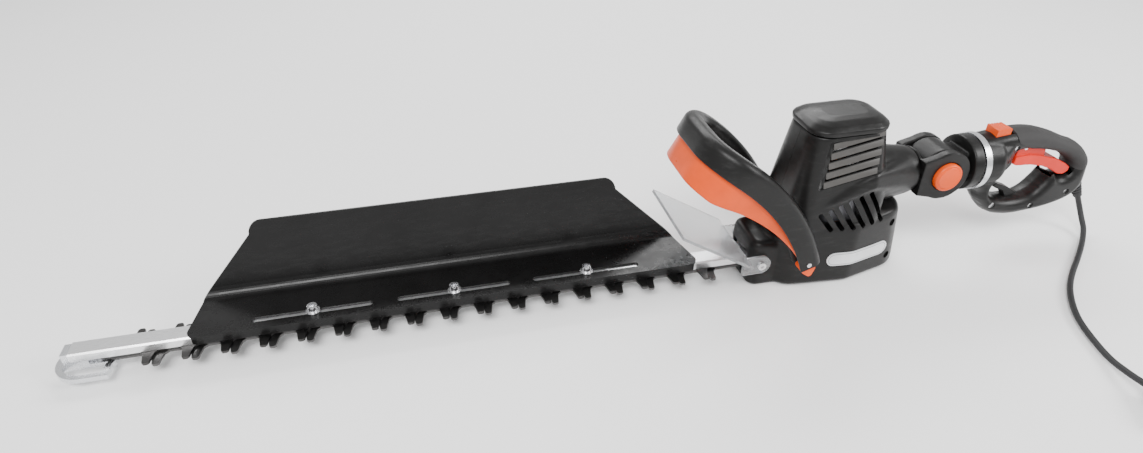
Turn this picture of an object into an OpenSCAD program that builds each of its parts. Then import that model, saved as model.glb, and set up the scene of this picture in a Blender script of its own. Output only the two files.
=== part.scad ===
// Electric hedge trimmer with a tilting and swivelling rear handle and a clippings collector.
// Millimetres. +X runs from the cutter bar towards the rear handle, +Z is up.
// The origin lies on the flat base, under the upright motor shaft.

/* [Cutter] */
// Distance between neighbouring teeth
tooth_pitch = 35; // [30:1:38]
// Number of teeth on each side of a blade
tooth_count = 17; // [8:1:17]
// Blade width over the tooth tips
blade_w = 53; // [44:1:60]
// Width of the solid strip along the middle of a blade
blade_core_w = 18; // [16:1:20]
// Thickness of one blade
blade_t = 2.5; // [2:0.1:2.5]
// Height of the plane between the two blades
blade_z = 17; // [16.5:0.1:17.5]
// Throw of the drive eccentrics
throw = 7.9; // [6:0.1:8]
// How far each blade stands from mid stroke as drawn
rest_shift = 4; // [0:0.5:5]

/* [Rail and collector] */
// Width of the rail above the blades
rail_w = 20; // [18:0.5:21]
// Height of the rail
rail_h = 9; // [8:0.5:10]
// Thickness of the collector sheet
collector_t = 2; // [1.5:0.1:3]
// Height of the collector's upper edge above the base
collector_top_z = 105; // [70:1:120]
// Length of each slot in the collector
slot_len = 116; // [100:1:120]

/* [Body] */
// Wall thickness of the plastic housings
wall = 2.8; // [2:0.1:3.5]
// Half width of the body beside the gearbox
body_half = 40.4; // [40.4:0.2:41]
// Height of the motor cap's crown
hump_z = 191; // [185:1:205]
// Height of the shaft line of the rear handle
neck_z = 110; // [107:1:115]

/* [Front bow] */
// Distance from the base of the bow to its crossbar along its curve
bow_len = 176; // [150:1:190]
// Half distance between the two legs
bow_half = 54.5; // [54.5:0.5:62]
// Lean of the legs at the base, from upright
lean_base = 20; // [10:1:25]
// Lean at the crossbar, from upright
lean_top = 60; // [50:1:65]
// Reach of the switch lever in front of the bow
lever_reach = 36; // [25:1:38]

/* [Rear handle] */
// Distance from the motor shaft to the tilt axis
tilt_x = 121; // [118:1:130]
// Radius of the tilt joint's discs
knuckle_r = 28; // [26:0.5:30]
// Overall width of the tilt joint
knuckle_w = 54; // [50:1:58]
// Radius of the silver swivel ring
ring_r = 32; // [30:0.5:34]
// Overall width of the rear handle
grip_w = 34; // [30:1:38]

/* [Hidden] */
$fn = 48;
// Face count of the children of a hull
HULL_FN = 32;
// Overshoot that lets a cut pass cleanly through a face
EPS = 0.5;
// Free gap between parts of different bodies
GAP = 0.3;
// Radial gap of a running fit
RUN = 0.05;

// Cutter
first_tooth_x = -700;
far_stagger = 14;
tooth_root_w = 18;
tooth_tip_w = 6.5;
blade_front_x = -738;
lower_z = blade_z - GAP - blade_t;
upper_z = blade_z;
gear_x = -38.4;
eccentric_r = 14;
yoke_play = 1.4;
yoke_r = eccentric_r + yoke_play;
yoke_rim = 5;
shaft_r = 4;
blade_slot_len = 30;
shoulder_r = 3;
blade_screw_x = [-726, -622, -482, -342, -202];
// Rail
rail_z = upper_z + blade_t + GAP;
rail_top = rail_z + rail_h;
rail_front_x = -772;
rail_rear_x = -78;
bolt_x = [-552, -412, -272];
// Collector
flange_near_y = -14;
collector_z = rail_top + GAP;
washer_z = collector_z + collector_t + GAP;
slot_r = 3.4;
bend_y = 38;
// Depth of the sheet's turned-down near edge
lip_h = 7;
bend_r = 12;
panel_top_y = 64;
// Gearbox
gearbox_r = 37;
plate_z = 6.2;
plate_t = 3;
box_z = plate_z + plate_t;
box_top = 42;
gear_z = 22.5;
gear_t = 10;
gear_module = 0.8;
gear_teeth = 84;
pinion_teeth = 12;
gear_pitch_r = gear_module * gear_teeth / 2;
pinion_pitch_r = gear_module * pinion_teeth / 2;
tooth_depth = 0.7;
// Motor
motor_shaft_r = 4;
bearing_r = 11;
bearing_t = 7;
lower_bearing_z = 35;
upper_bearing_z = 153;
stator_z = 73;
stator_h = 48;
stator_r = 31;
bore_r = 19;
core_r = 18.4;
commutator_z = 134;
commutator_r = 12;
brush_z = 140;
// Body form
nose_half = 30;
nose_front_x = -96;
lower_top = 79;
// Tilt joint and swivel
fork_inner = 16.5;
tilt_pin_r = 6;
button_r = 16;
button_travel = 4;
ring_x = 165;
ring_t = 7;
handle_x = ring_x + ring_t + GAP;
spindle_r = 13;
spindle_flange_r = 18;

// ---------- shared helpers ----------

module cyl_x(r, h) {
  rotate([0, 90, 0]) cylinder(r = r, h = h);
}

module cyl_y(r, h) {
  rotate([-90, 0, 0]) cylinder(r = r, h = h);
}

// A copy on each side of the middle plane
module both_sides() {
  children();
  mirror([0, 1, 0]) children();
}

function unit(v) = v / norm(v);
function lerp(a, b, t) = a + (b - a) * t;

// Faces of a closed tube of rings with round + caps
function tube_faces(rings, sides) = concat(
  [for (i = [0 : rings - 2]) for (j = [0 : sides - 1])
    [i * sides + j, i * sides + (j + 1) % sides,
     (i + 1) * sides + (j + 1) % sides, (i + 1) * sides + j]],
  [[for (j = [sides - 1 : -1 : 0]) j]],
  [[for (j = [0 : sides - 1]) (rings - 1) * sides + j]]
);

// Point of a Catmull-Rom curve through four neighbours
function curve_point(a, b, c, d, t) = 0.5 * (2 * b + (c - a) * t
  + (2 * a - 5 * b + 4 * c - d) * t * t + (3 * b - 3 * c + d - a) * t * t * t);

// Smooth route through the given points
function smooth_route(p, steps) = let (n = len(p)) concat(
  [for (i = [0 : n - 2]) for (k = [0 : steps - 1])
    curve_point(p[max(i - 1, 0)], p[i], p[i + 1], p[min(i + 2, n - 1)], k / steps)],
  [p[n - 1]]
);

function route_dir(p, i) = unit(p[min(i + 1, len(p) - 1)] - p[max(i - 1, 0)]);

// Round tube along a route; ref is a direction that the route never takes
module tube_along(p, r, sides, ref) {
  points = [for (i = [0 : len(p) - 1])
    let (t = route_dir(p, i), a = unit(cross(ref, t)), b = cross(a, t))
    for (j = [0 : sides - 1]) p[i] + r * (a * cos(360 * j / sides) + b * sin(360 * j / sides))];
  polyhedron(points = points, faces = tube_faces(len(p), sides), convexity = 8);
}

// Coil spring standing on z = 0
module coil_spring(r, wire_r, turns, h) {
  steps = 10 * turns;
  route = [for (i = [0 : steps])
    [r * cos(36 * i), r * sin(36 * i), wire_r + (h - 2 * wire_r) * i / steps]];
  tube_along(route, wire_r, 6, [0, 0, 1]);
}

// Socket head screw pointing down from z = 0, head above
module socket_screw(head_r, head_h, shank_r, shank_len) {
  difference() {
    cylinder(r = head_r, h = head_h);
    translate([0, 0, head_h - head_h / 2]) cylinder(r = head_r * 0.5, h = head_h, $fn = 6);
  }
  translate([0, 0, -shank_len]) cylinder(r = shank_r, h = shank_len);
}

// ---------- cutter ----------

// Corner points of one tooth, from left to right; side is -1 near and 1 far
function tooth_points(x, side) = let (root = blade_core_w / 2, tip = blade_w / 2)
  [for (q = [
    [-tooth_root_w / 2, root],
    [-tooth_root_w / 3.2, root + 3],
    [-tooth_tip_w / 2 - 1, root + 9],
    [-tooth_tip_w / 2, tip - 1.5],
    [-tooth_tip_w / 2 + 1.5, tip],
    [tooth_tip_w / 2 - 1.5, tip],
    [tooth_tip_w / 2, tip - 1.5],
    [tooth_tip_w / 2 + 1, root + 9],
    [tooth_root_w / 3.2, root + 3],
    [tooth_root_w / 2, root]
  ]) [x + q[0], side * q[1]]];

// Strip with its teeth on both sides, as one outline
module toothed_strip() {
  near = [for (i = [0 : tooth_count - 1]) each tooth_points(first_tooth_x + i * tooth_pitch, -1)];
  far = [for (i = [0 : tooth_count - 1]) each tooth_points(first_tooth_x - far_stagger + i * tooth_pitch, 1)];
  half = blade_core_w / 2;
  polygon(concat(
    [[blade_front_x, -half]], near, [[gear_x - yoke_r, -half], [gear_x - yoke_r, half]],
    [for (i = [len(far) - 1 : -1 : 0]) far[i]], [[blade_front_x, half]]
  ));
}

// Outline of one blade at mid stroke
module blade_outline() {
  difference() {
    union() {
      toothed_strip();
      translate([blade_front_x, 0]) circle(r = blade_core_w / 2);
      for (s = [-1, 1]) translate([gear_x, s * throw]) circle(r = yoke_r + yoke_rim);
      translate([gear_x - yoke_r - yoke_rim, -throw]) square([2 * (yoke_r + yoke_rim), 2 * throw]);
    }
    for (x = blade_screw_x) {
      translate([x - blade_slot_len / 2 + shoulder_r, -shoulder_r - 0.3])
        square([blade_slot_len - 2 * shoulder_r, 2 * shoulder_r + 0.6]);
      for (s = [-1, 1]) translate([x + s * (blade_slot_len / 2 - shoulder_r), 0])
        circle(r = shoulder_r + 0.3);
    }
    for (s = [-1, 1]) translate([gear_x, s * throw]) circle(r = yoke_r);
    translate([gear_x - yoke_r, -throw]) square([2 * yoke_r, 2 * throw]);
  }
}

module upper_blade() {
  color("silver") translate([-rest_shift, 0, upper_z]) linear_extrude(blade_t) blade_outline();
}

module lower_blade() {
  color("dimgray") translate([rest_shift, 0, lower_z]) linear_extrude(blade_t) blade_outline();
}

module blade_rail() {
  color("gainsboro") difference() {
    translate([rail_front_x, 0, rail_z]) rotate([90, 0, 90]) linear_extrude(rail_rear_x - rail_front_x)
      polygon([
        [-rail_w / 2, 0], [rail_w / 2, 0], [rail_w / 2, rail_h - 1.5],
        [rail_w / 2 - 1.5, rail_h], [1.5 - rail_w / 2, rail_h], [-rail_w / 2, rail_h - 1.5]
      ]);
    for (x = blade_screw_x) translate([x, 0, rail_z - EPS]) cylinder(r = 2.5, h = 7 + EPS);
    for (x = bolt_x) translate([x, 0, rail_top - 7]) cylinder(r = 3, h = 7 + EPS);
    for (x = rail_screw_x) translate([x, 0, rail_top - 6]) cylinder(r = 2.5, h = 6 + EPS);
    for (x = tip_screw_x) translate([x, 0, rail_z - EPS]) cylinder(r = 2, h = 6 + EPS);
  }
}

// Shoulder screws that hold both blades under the rail
module blade_screws() {
  color("silver") for (x = blade_screw_x) translate([x, 0, 0]) {
    translate([0, 0, lower_z - GAP - 1 - 2.4]) cylinder(r = 5.5, h = 2.4);
    translate([0, 0, lower_z - GAP - 1]) cylinder(r = shoulder_r, h = rail_z - lower_z + GAP + 1);
    translate([0, 0, rail_z]) cylinder(r = 2.5, h = 7);
  }
}

module blade_washers() {
  color("silver") for (x = blade_screw_x) translate([x, 0, lower_z - GAP - 1]) difference() {
    cylinder(r = 7, h = 1);
    translate([0, 0, -EPS]) cylinder(r = shoulder_r, h = 1 + 2 * EPS);
  }
}

tip_screw_x = [-764];
tip_base_z = 8;
tip_loop_t = 5;

// Blunt nose that keeps the cutter off the ground and off fences
module tip_guard() {
  color("lightgray") difference() {
    union() {
      difference() {
        union() {
          translate([-762, 0, tip_base_z]) cylinder(r = 27, h = tip_loop_t);
          translate([-762, -27, tip_base_z]) cube([24, 54, tip_loop_t]);
        }
        difference() {
          union() {
            translate([-762, 0, tip_base_z - EPS]) cylinder(r = 21.5, h = tip_loop_t + 2 * EPS);
            translate([-762, -21.5, tip_base_z - EPS]) cube([18.5, 43, tip_loop_t + 2 * EPS]);
          }
          translate([-790, -8, tip_base_z - 1]) cube([60, 16, tip_loop_t + 2]);
        }
      }
      translate([-779, -8, tip_base_z]) cube([21, 16, rail_z - tip_base_z]);
      translate([-779, -8, rail_z - 1]) cube([779 + rail_front_x, 16, rail_h]);
    }
    for (x = tip_screw_x) {
      translate([x, 0, tip_base_z - EPS]) cylinder(r = 2, h = rail_z);
      translate([x, 0, tip_base_z - EPS]) cylinder(r = 4, h = 2.5 + EPS);
    }
  }
}

module tip_screws() {
  color("silver") for (x = tip_screw_x) translate([x, 0, tip_base_z]) {
    cylinder(r = 4, h = 2.5);
    translate([0, 0, 2.5]) cylinder(r = 2, h = rail_z - tip_base_z + 3.5);
  }
}

// ---------- collector ----------

// Bent profile across the sheet, from the near edge up to the top edge
module collector_profile() {
  lean = atan2(panel_top_y - bend_y - bend_r, collector_top_z - rail_top - bend_r);
  sweep_angle = 90 - lean;
  centre = [bend_y, bend_r + collector_t];
  turn = [for (i = [0 : 8]) sweep_angle * i / 8];
  panel_dir = [sin(lean), cos(lean)];
  corner = centre + bend_r * [sin(sweep_angle), -cos(sweep_angle)];
  run = (collector_top_z - rail_top - corner[1]) / panel_dir[1];
  inner = [for (a = turn) centre + bend_r * [sin(a), -cos(a)]];
  outer = [for (a = turn) centre + (bend_r + collector_t) * [sin(a), -cos(a)]];
  end_in = inner[8] + run * panel_dir;
  end_out = outer[8] + run * panel_dir;
  polygon(concat(
    [[flange_near_y, -lip_h], [flange_near_y + collector_t, -lip_h], [flange_near_y + collector_t, 0]],
    outer, [end_out, end_in],
    [for (i = [8 : -1 : 0]) inner[i]], [[flange_near_y, collector_t]]
  ));
}

// Side outline of the sheet, seen from above while flat on the rail
module collector_plan() {
  near_l = -668;
  near_r = -150;
  r = 10;
  polygon(concat(
    [for (i = [0 : 6]) [near_l + r - r * sin(90 - 15 * i), flange_near_y + r - r * cos(90 - 15 * i)]],
    [for (i = [0 : 6]) [near_r - r + r * sin(15 * i), flange_near_y + r - r * cos(15 * i)]],
    [[near_r - 12, bend_y + 8], [near_r - 12, panel_top_y + 20],
     [near_l + 8, panel_top_y + 20], [near_l + 8, bend_y + 8]]
  ));
}

// Front view of the raised panel, with rounded upper corners
module collector_front() {
  left = -660;
  right = -162;
  top_l = -606;
  top_r = -224;
  low = rail_top + 3.5;
  r = 14;
  polygon(concat(
    [[left, rail_top - 2], [right, rail_top - 2], [right, low]],
    [for (i = [0 : 6]) [top_r - r + r * cos(15 * i), collector_top_z - r + r * sin(15 * i)]],
    [for (i = [0 : 6]) [top_l + r - r * sin(15 * i), collector_top_z - r + r * cos(15 * i)]],
    [[left, low]]
  ));
}

module collector() {
  color("black") difference() {
    intersection() {
      translate([-700, 0, collector_z]) rotate([90, 0, 90]) linear_extrude(600) collector_profile();
      union() {
        translate([0, 0, rail_top - 9]) linear_extrude(12.5) collector_plan();
        translate([0, 120, 0]) rotate([90, 0, 0]) linear_extrude(120 - bend_y + 2) collector_front();
      }
    }
    for (x = bolt_x) {
      translate([x - slot_len / 2 + slot_r, -slot_r, rail_top])
        cube([slot_len - 2 * slot_r, 2 * slot_r, collector_t + 1]);
      for (s = [-1, 1]) translate([x + s * (slot_len / 2 - slot_r), 0, rail_top])
        cylinder(r = slot_r, h = collector_t + 1);
    }
  }
}

module collector_washers() {
  color("silver") for (x = bolt_x) translate([x, 0, washer_z]) difference() {
    cylinder(r = 7, h = 1.2);
    translate([0, 0, -EPS]) cylinder(r = 3, h = 1.2 + 2 * EPS);
  }
}

module collector_bolts() {
  color("silver") for (x = bolt_x) translate([x, 0, washer_z + 1.2])
    socket_screw(5, 6, 3, washer_z + 1.2 - rail_top + 7);
}

rail_screw_x = [-110, -98];

module rail_screws() {
  color("silver") for (x = rail_screw_x) translate([x, 0, tongue_top]) socket_screw(4, 3, 2.5, tongue_t + 6);
}

// ---------- gearbox ----------

tongue_t = 4;
tongue_top = rail_top + tongue_t;

// Plan of the gear chamber and the motor foot
module gearbox_plan() {
  translate([gear_x, 0]) circle(r = gearbox_r);
  translate([-30, -24]) square([47, 48]);
  translate([-92, -17]) square([40, 34]);
}

module gearbox_housing() {
  color("darkgray") difference() {
    union() {
      translate([0, 0, box_z]) linear_extrude(box_top - box_z) gearbox_plan();
      translate([-118, -12, rail_top]) cube([30, 24, tongue_t]);
    }
    // gear chamber and pinion chamber
    translate([gear_x, 0, gear_z - 1.5]) cylinder(r = 35.2, h = 13.5);
    translate([0, 0, gear_z - 1.5]) cylinder(r = 7.5, h = 13.5);
    // room for both yokes
    translate([gear_x, 0, box_z - EPS]) cylinder(r = 33.2, h = gear_z - 1.5 - box_z + 2 * EPS);
    // mouth for blades and rail
    translate([-93, -11, lower_z - 0.8]) cube([40, 22, rail_z - lower_z + 0.8]);
    translate([-93, -rail_w / 2, rail_z - EPS]) cube([93 + rail_rear_x, rail_w, rail_h + EPS]);
    translate([gear_x, 0, gear_z]) cylinder(r = shaft_r, h = 16.5);
    translate([0, 0, lower_bearing_z]) cylinder(r = bearing_r, h = bearing_t + EPS);
    translate([0, 0, gear_z]) cylinder(r = 8, h = 16);
    for (p = gearbox_screw_at) translate([p[0], p[1], box_z - EPS]) cylinder(r = 2, h = 12 + EPS);
    for (x = rail_screw_x) translate([x, 0, rail_top - EPS]) cylinder(r = 2.5, h = tongue_t + 2 * EPS);
  }
}

gearbox_screw_at = [[-84, 14], [-84, -14], [12, 18], [12, -18]];

module gearbox_plate() {
  color("lightgray") difference() {
    translate([0, 0, plate_z]) linear_extrude(plate_t) gearbox_plan();
    translate([gear_x, 0, plate_z - EPS]) cylinder(r = shaft_r, h = plate_t + 2 * EPS);
    for (p = gearbox_screw_at) translate([p[0], p[1], plate_z - EPS]) cylinder(r = 2, h = plate_t + 2 * EPS);
  }
}

module gearbox_screws() {
  color("silver") for (p = gearbox_screw_at) translate([p[0], p[1], plate_z - 2.4]) {
    cylinder(r = 4, h = 2.4);
    translate([0, 0, 2.4]) cylinder(r = 2, h = plate_t + 12);
  }
}

module gear_shaft() {
  color("silver") translate([gear_x, 0, plate_z]) cylinder(r = shaft_r, h = gear_z + 16.5 - plate_z);
}

// Trapezoid toothed wheel outline
module gear_outline(teeth, pitch_r, depth, tip_share) {
  polygon([for (i = [0 : teeth - 1]) for (k = [0 : 3])
    let (a = 360 / teeth * (i + [-0.28, -tip_share, tip_share, 0.28][k]),
         r = pitch_r + [-depth - 0.2, depth, depth, -depth - 0.2][k])
    r * [cos(a), sin(a)]]);
}

// Angle that brings a gap of the wheel onto the line of centres
gear_turn = 180 / gear_teeth;
rest_angle = rest_shift / (0.725 * throw) * 180 / PI;

module drive_gear() {
  color("dimgray") difference() {
    union() {
      translate([gear_x, 0, gear_z]) rotate([0, 0, gear_turn]) linear_extrude(gear_t)
        gear_outline(gear_teeth, gear_pitch_r, tooth_depth, 0.11);
      translate([gear_x - throw * sin(rest_angle), throw * cos(rest_angle), lower_z + blade_t + GAP / 2])
        cylinder(r = eccentric_r, h = gear_z - lower_z - blade_t - GAP / 2);
      translate([gear_x + throw * sin(rest_angle), -throw * cos(rest_angle), lower_z - GAP])
        cylinder(r = eccentric_r, h = blade_t + 1.5 * GAP);
    }
    translate([gear_x, 0, 5]) cylinder(r = shaft_r + RUN, h = 40);
    for (i = [0 : 5]) rotate_about_gear(60 * i) translate([25, 0, gear_z + 6.5]) cylinder(r = 7, h = 5);
  }
}

module rotate_about_gear(a) {
  translate([gear_x, 0, 0]) rotate([0, 0, a]) children();
}

module thrust_spacer() {
  color("goldenrod") translate([gear_x, 0, box_z]) difference() {
    cylinder(r = 7, h = lower_z - 2 * GAP - box_z);
    translate([0, 0, -EPS]) cylinder(r = shaft_r, h = lower_z);
  }
}

// ---------- motor ----------

// Steel shaft with the pinion cut on its lower end
module motor_shaft() {
  color("silver") {
    translate([0, 0, gear_z - 0.5]) linear_extrude(gear_t + 1)
      gear_outline(pinion_teeth, pinion_pitch_r, tooth_depth, 0.11);
    translate([0, 0, gear_z + gear_t + 0.5])
      cylinder(r = motor_shaft_r, h = upper_bearing_z + bearing_t - gear_z - gear_t - 0.5);
  }
}

// Ring on the motor shaft
module on_shaft(r, z, h) {
  translate([0, 0, z]) difference() {
    cylinder(r = r, h = h);
    translate([0, 0, -EPS]) cylinder(r = motor_shaft_r, h = h + 2 * EPS);
  }
}

armature_slots = 12;

module armature_core() {
  color("gray") difference() {
    on_shaft(core_r, stator_z + 1, stator_h - 2);
    for (i = [0 : armature_slots - 1]) rotate([0, 0, 30 * i]) {
      translate([11, -2.2, stator_z]) cube([4.5, 4.4, stator_h]);
      translate([13, -0.8, stator_z]) cube([8, 1.6, stator_h]);
    }
  }
}

// Copper in the slots and the end turns above and below the core
module armature_winding() {
  color("peru") {
    for (i = [0 : armature_slots - 1]) rotate([0, 0, 30 * i])
      translate([11, -2.2, stator_z + 1]) cube([4.5, 4.4, stator_h - 2]);
    on_shaft(16, stator_z + stator_h - 1, 9);
    on_shaft(16, stator_z - 7, 8);
  }
}

module commutator() {
  color("orange") difference() {
    on_shaft(commutator_r, commutator_z, 14);
    for (i = [0 : 23]) rotate([0, 0, 15 * i])
      translate([commutator_r - 1.2, -0.25, commutator_z - EPS]) cube([3, 0.5, 15]);
  }
}

fan_z = 52;

module cooling_fan() {
  color("dimgray") {
    on_shaft(8, fan_z, 11);
    difference() {
      on_shaft(28, fan_z, 2);
      translate([0, 0, fan_z - EPS]) cylinder(r = 7.9, h = 3);
    }
    for (i = [0 : 11]) rotate([0, 0, 30 * i]) translate([7.8, -0.8, fan_z + 2]) cube([20, 1.6, 9]);
  }
}

// Ball bearing drawn as one closed ring with grooved faces
module ball_bearing(z) {
  translate([0, 0, z]) rotate_extrude() polygon([
    [motor_shaft_r + RUN, 0], [6, 0], [6, 0.6], [9.2, 0.6], [9.2, 0], [bearing_r, 0], [bearing_r, bearing_t],
    [9.2, bearing_t], [9.2, bearing_t - 0.6], [6, bearing_t - 0.6], [6, bearing_t],
    [motor_shaft_r + RUN, bearing_t]
  ]);
}

module lower_bearing() {
  color("lightgray") ball_bearing(lower_bearing_z);
}

module upper_bearing() {
  color("lightgray") ball_bearing(upper_bearing_z);
}

// Laminated stack with flats on both sides
module stator_core() {
  color("slategray") difference() {
    intersection() {
      translate([0, 0, stator_z]) cylinder(r = stator_r, h = stator_h);
      translate([-40, -28.5, stator_z]) cube([80, 57, stator_h]);
    }
    translate([0, 0, stator_z - EPS]) cylinder(r = bore_r, h = stator_h + 2 * EPS);
    for (s = [-1, 1]) for (t = [-1, 1])
      translate([s * 15.5 - 3, t * 19 - 4, stator_z - EPS]) cube([6, 8, stator_h + 2 * EPS]);
  }
}

// Two field coils, each with runs in the slots and end turns
module stator_coils() {
  color("peru") both_sides() {
    for (s = [-1, 1]) translate([s * 15.5 - 2.8, 15.2, stator_z - 6]) cube([5.6, 7.6, stator_h + 12]);
    for (z = [stator_z - 6, stator_z + stator_h]) translate([-13, 19, z]) cube([26, 3.8, 6]);
  }
}

// Bracket that stands on the stator and holds the upper bearing
module bearing_bracket() {
  color("dimgray") {
    difference() {
      translate([0, 0, upper_bearing_z]) cylinder(r = 28, h = bearing_t + 2);
      translate([0, 0, upper_bearing_z - EPS]) cylinder(r = bearing_r, h = bearing_t + EPS);
      translate([0, 0, upper_bearing_z]) cylinder(r = 8, h = 20);
    }
    both_sides() translate([-7, 24.2, stator_z + stator_h])
      cube([14, 3.6, upper_bearing_z - stator_z - stator_h]);
  }
}

module brush_holders() {
  color("goldenrod") for (a = [0, 180]) rotate([0, 0, a]) difference() {
    translate([13.5, -5, brush_z - 5]) cube([14, 10, upper_bearing_z - brush_z + 5]);
    translate([13, -3.2, brush_z - 3.2]) cube([13, 6.4, 6.4]);
  }
}

module carbon_brushes() {
  color("dimgray") for (a = [0, 180]) rotate([0, 0, a])
    translate([commutator_r + GAP, -3, brush_z - 3]) cube([8.5, 6, 6]);
}

module brush_springs() {
  color("silver") for (a = [0, 180]) rotate([0, 0, a])
    translate([commutator_r + GAP + 8.6, 0, brush_z]) rotate([0, 90, 0]) coil_spring(2, 0.4, 4, 5);
}

// ---------- body ----------

// Outer form of the body, drawn smaller all round by g
module body_form(g) {
  // nose over the gearbox mouth
  hull() for (x = [nose_front_x + 12, -64]) for (s = [-1, 1])
    translate([x, s * (nose_half - 12), g]) cylinder(r = 12 - g, h = 57 - 2 * g, $fn = HULL_FN);
  // wide lower body
  hull() {
    for (s = [-1, 1]) {
      translate([-44, s * (body_half - 28), g]) cylinder(r = 28 - g - foot_round, h = 6, $fn = HULL_FN);
      translate([-44, s * (body_half - 28), g + foot_round])
        cylinder(r = 28 - g, h = lower_top - 8 - 2 * g, $fn = HULL_FN);
      translate([12, s * (body_half - 21), g]) cylinder(r = 26 - g - foot_round, h = 6, $fn = HULL_FN);
      translate([12, s * (body_half - 21), g + foot_round])
        cylinder(r = 26 - g, h = lower_top - foot_round - 2 * g, $fn = HULL_FN);
    }
    translate([58, 0, g]) cylinder(r = 34 - g - foot_round, h = 6, $fn = HULL_FN);
    translate([58, 0, g + foot_round]) cylinder(r = 34 - g, h = 6, $fn = HULL_FN);
    translate([51, 0, lower_top - 6 - g]) cylinder(r = 34 - g, h = 6, $fn = HULL_FN);
  }
  // motor hump
  hull() {
    for (s = [-1, 1]) {
      translate([-40, s * 19, 55]) cylinder(r = 22 - g, h = 40, $fn = HULL_FN);
      translate([28, s * 19, 55]) cylinder(r = 22 - g, h = 40, $fn = HULL_FN);
      translate([-29, s * 13, cap_z - 4 - g]) cylinder(r = 20 - g, h = 4, $fn = HULL_FN);
      translate([16, s * 13, cap_z - 4 - g]) cylinder(r = 20 - g, h = 4, $fn = HULL_FN);
    }
  }
  // neck towards the tilt joint
  hull() {
    translate([20, 0, neck_z]) cyl_x(36 - g, 5);
    translate([neck_end_x - 3, 0, neck_z]) cyl_x(26 - g, 3);
  }
}

cap_z = 177;
neck_end_x = 90;
foot_round = 4;

vent_count = 6;
// Half width of a side vent
vent_r = 2.7;
// Louvre slots rise towards the rear by this angle
louvre_lean = 10;
louvre_w = 54;
louvre_h = 3.5;

// Slanted slots in the side wall
module side_vents() {
  for (i = [0 : vent_count - 1]) hull() {
    translate([-32 + 11 * i, -60, 91 + 3.8 * i]) cyl_y(vent_r, 30);
    translate([-17 + 12.6 * i, -60, 72]) cyl_y(vent_r, 30);
  }
}

// Louvre slots high on the hump
module hump_vents() {
  for (i = [0 : 3]) translate([-34 + 1.2 * i, -60, 129 + 10.5 * i]) rotate([0, -louvre_lean, 0])
    cube([louvre_w, 40, louvre_h]);
}

// Hollow body without its cap, shared by both halves
module body_hollow() {
  difference() {
    union() {
      body_form(0);
      // spacers under the bow's feet
      both_sides() translate([bow_screw_x, bow_screw_y, bow_screw_z])
        cyl_y(6, bow_half - bow_u - bow_screw_y);
    }
    difference() {
      body_form(wall);
      // floor bosses, motor ledge and neck bulkhead
      for (x = [-60, 0]) for (s = [-1, 1]) translate([x, s * 20, 0]) cylinder(r = 4, h = plate_z);
      difference() {
        translate([-60, -50, stator_z - 3]) cube([120, 100, 3]);
        translate([0, 0, stator_z - 4]) cylinder(r = 29.5, h = 5);
      }
      translate([neck_end_x - 8, -40, neck_z - 40]) cube([8, 80, 80]);
      for (p = shell_screw_at) translate([p[0], -50, p[1]]) cyl_y(6, 100);
    }
    // open top under the cap
    translate([0, 0, cap_z - 8]) cap_mouth(12);
    // mouth for rail and blades
    translate([nose_front_x - 1, -17, 10]) cube([12, 34, 28]);
    // cable way through the bulkhead
    translate([neck_end_x - 12, 0, neck_z]) cyl_x(8, 14);
    side_vents();
    mirror([0, 1, 0]) side_vents();
    hump_vents();
    mirror([0, 1, 0]) hump_vents();
    for (p = shell_screw_at) {
      translate([p[0], -p[2] - EPS, p[1]]) cyl_y(2.56, 40 + EPS);
      translate([p[0], -60, p[1]]) cyl_y(4.3, 60 - p[2]);
    }
    both_sides() {
      translate([bow_screw_x, bow_screw_y - EPS, bow_screw_z]) cyl_y(2, 10);
      translate([bow_screw_x, bow_screw_y - 8, bow_screw_z]) cyl_y(5, 8);
      translate([guard_screw[0], nose_half - 6, guard_screw[1]]) cyl_y(2.5, 10);
    }
  }
}

module cap_mouth(h) {
  hull() for (x = [-29, 16]) for (s = [-1, 1]) translate([x, s * 13, 0])
    cylinder(r = 16, h = h, $fn = HULL_FN);
}

// Screw places in the side wall: x, z and depth of the head seat from the middle
shell_screw_at = [[70, 18, 20], [66, 62, 20]];

module right_shell() {
  color("black") intersection() {
    body_hollow();
    translate([-130, -80, -1]) cube([260, 80, 240]);
  }
}

module left_shell() {
  color("black") intersection() {
    body_hollow();
    translate([-130, 0, -1]) cube([260, 80, 240]);
  }
}

// Cap over the motor, a flat ring seat with a domed crown
module motor_cap() {
  color("dimgray") difference() {
    hull() {
      for (x = [-29, 16]) for (s = [-1, 1]) {
        translate([x, s * 13, cap_z]) cylinder(r = 20.5, h = 6, $fn = HULL_FN);
        translate([x * 0.9, s * 11, hump_z - 6]) cylinder(r = 16, h = 6, $fn = HULL_FN);
      }
    }
    hull() {
      for (x = [-29, 16]) for (s = [-1, 1]) {
        translate([x, s * 13, cap_z - 1]) cylinder(r = 16, h = 5, $fn = HULL_FN);
        translate([x * 0.9, s * 10, hump_z - 9]) cylinder(r = 11, h = 5, $fn = HULL_FN);
      }
    }
  }
}

module shell_screws() {
  color("silver") for (p = shell_screw_at) translate([p[0], -p[2], p[1]]) {
    translate([0, -3, 0]) cyl_y(4, 3);
    cyl_y(2.5, 40);
  }
}

// Generic stadium plate that follows the side wall
module badge() {
  color("lightgray") intersection() {
    difference() {
      body_form(-1.2);
      body_form(0);
    }
    hull() for (x = [-6, 56]) translate([x, -60, 33]) cyl_y(8.5, 40, $fn = HULL_FN);
  }
}

// ---------- hand guard ----------

guard_t = 3;
guard_w = 96;
guard_len = 97;
guard_lean = 58;
guard_x = -104;
guard_z = 39;
guard_screw = [-86, 31];

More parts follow.
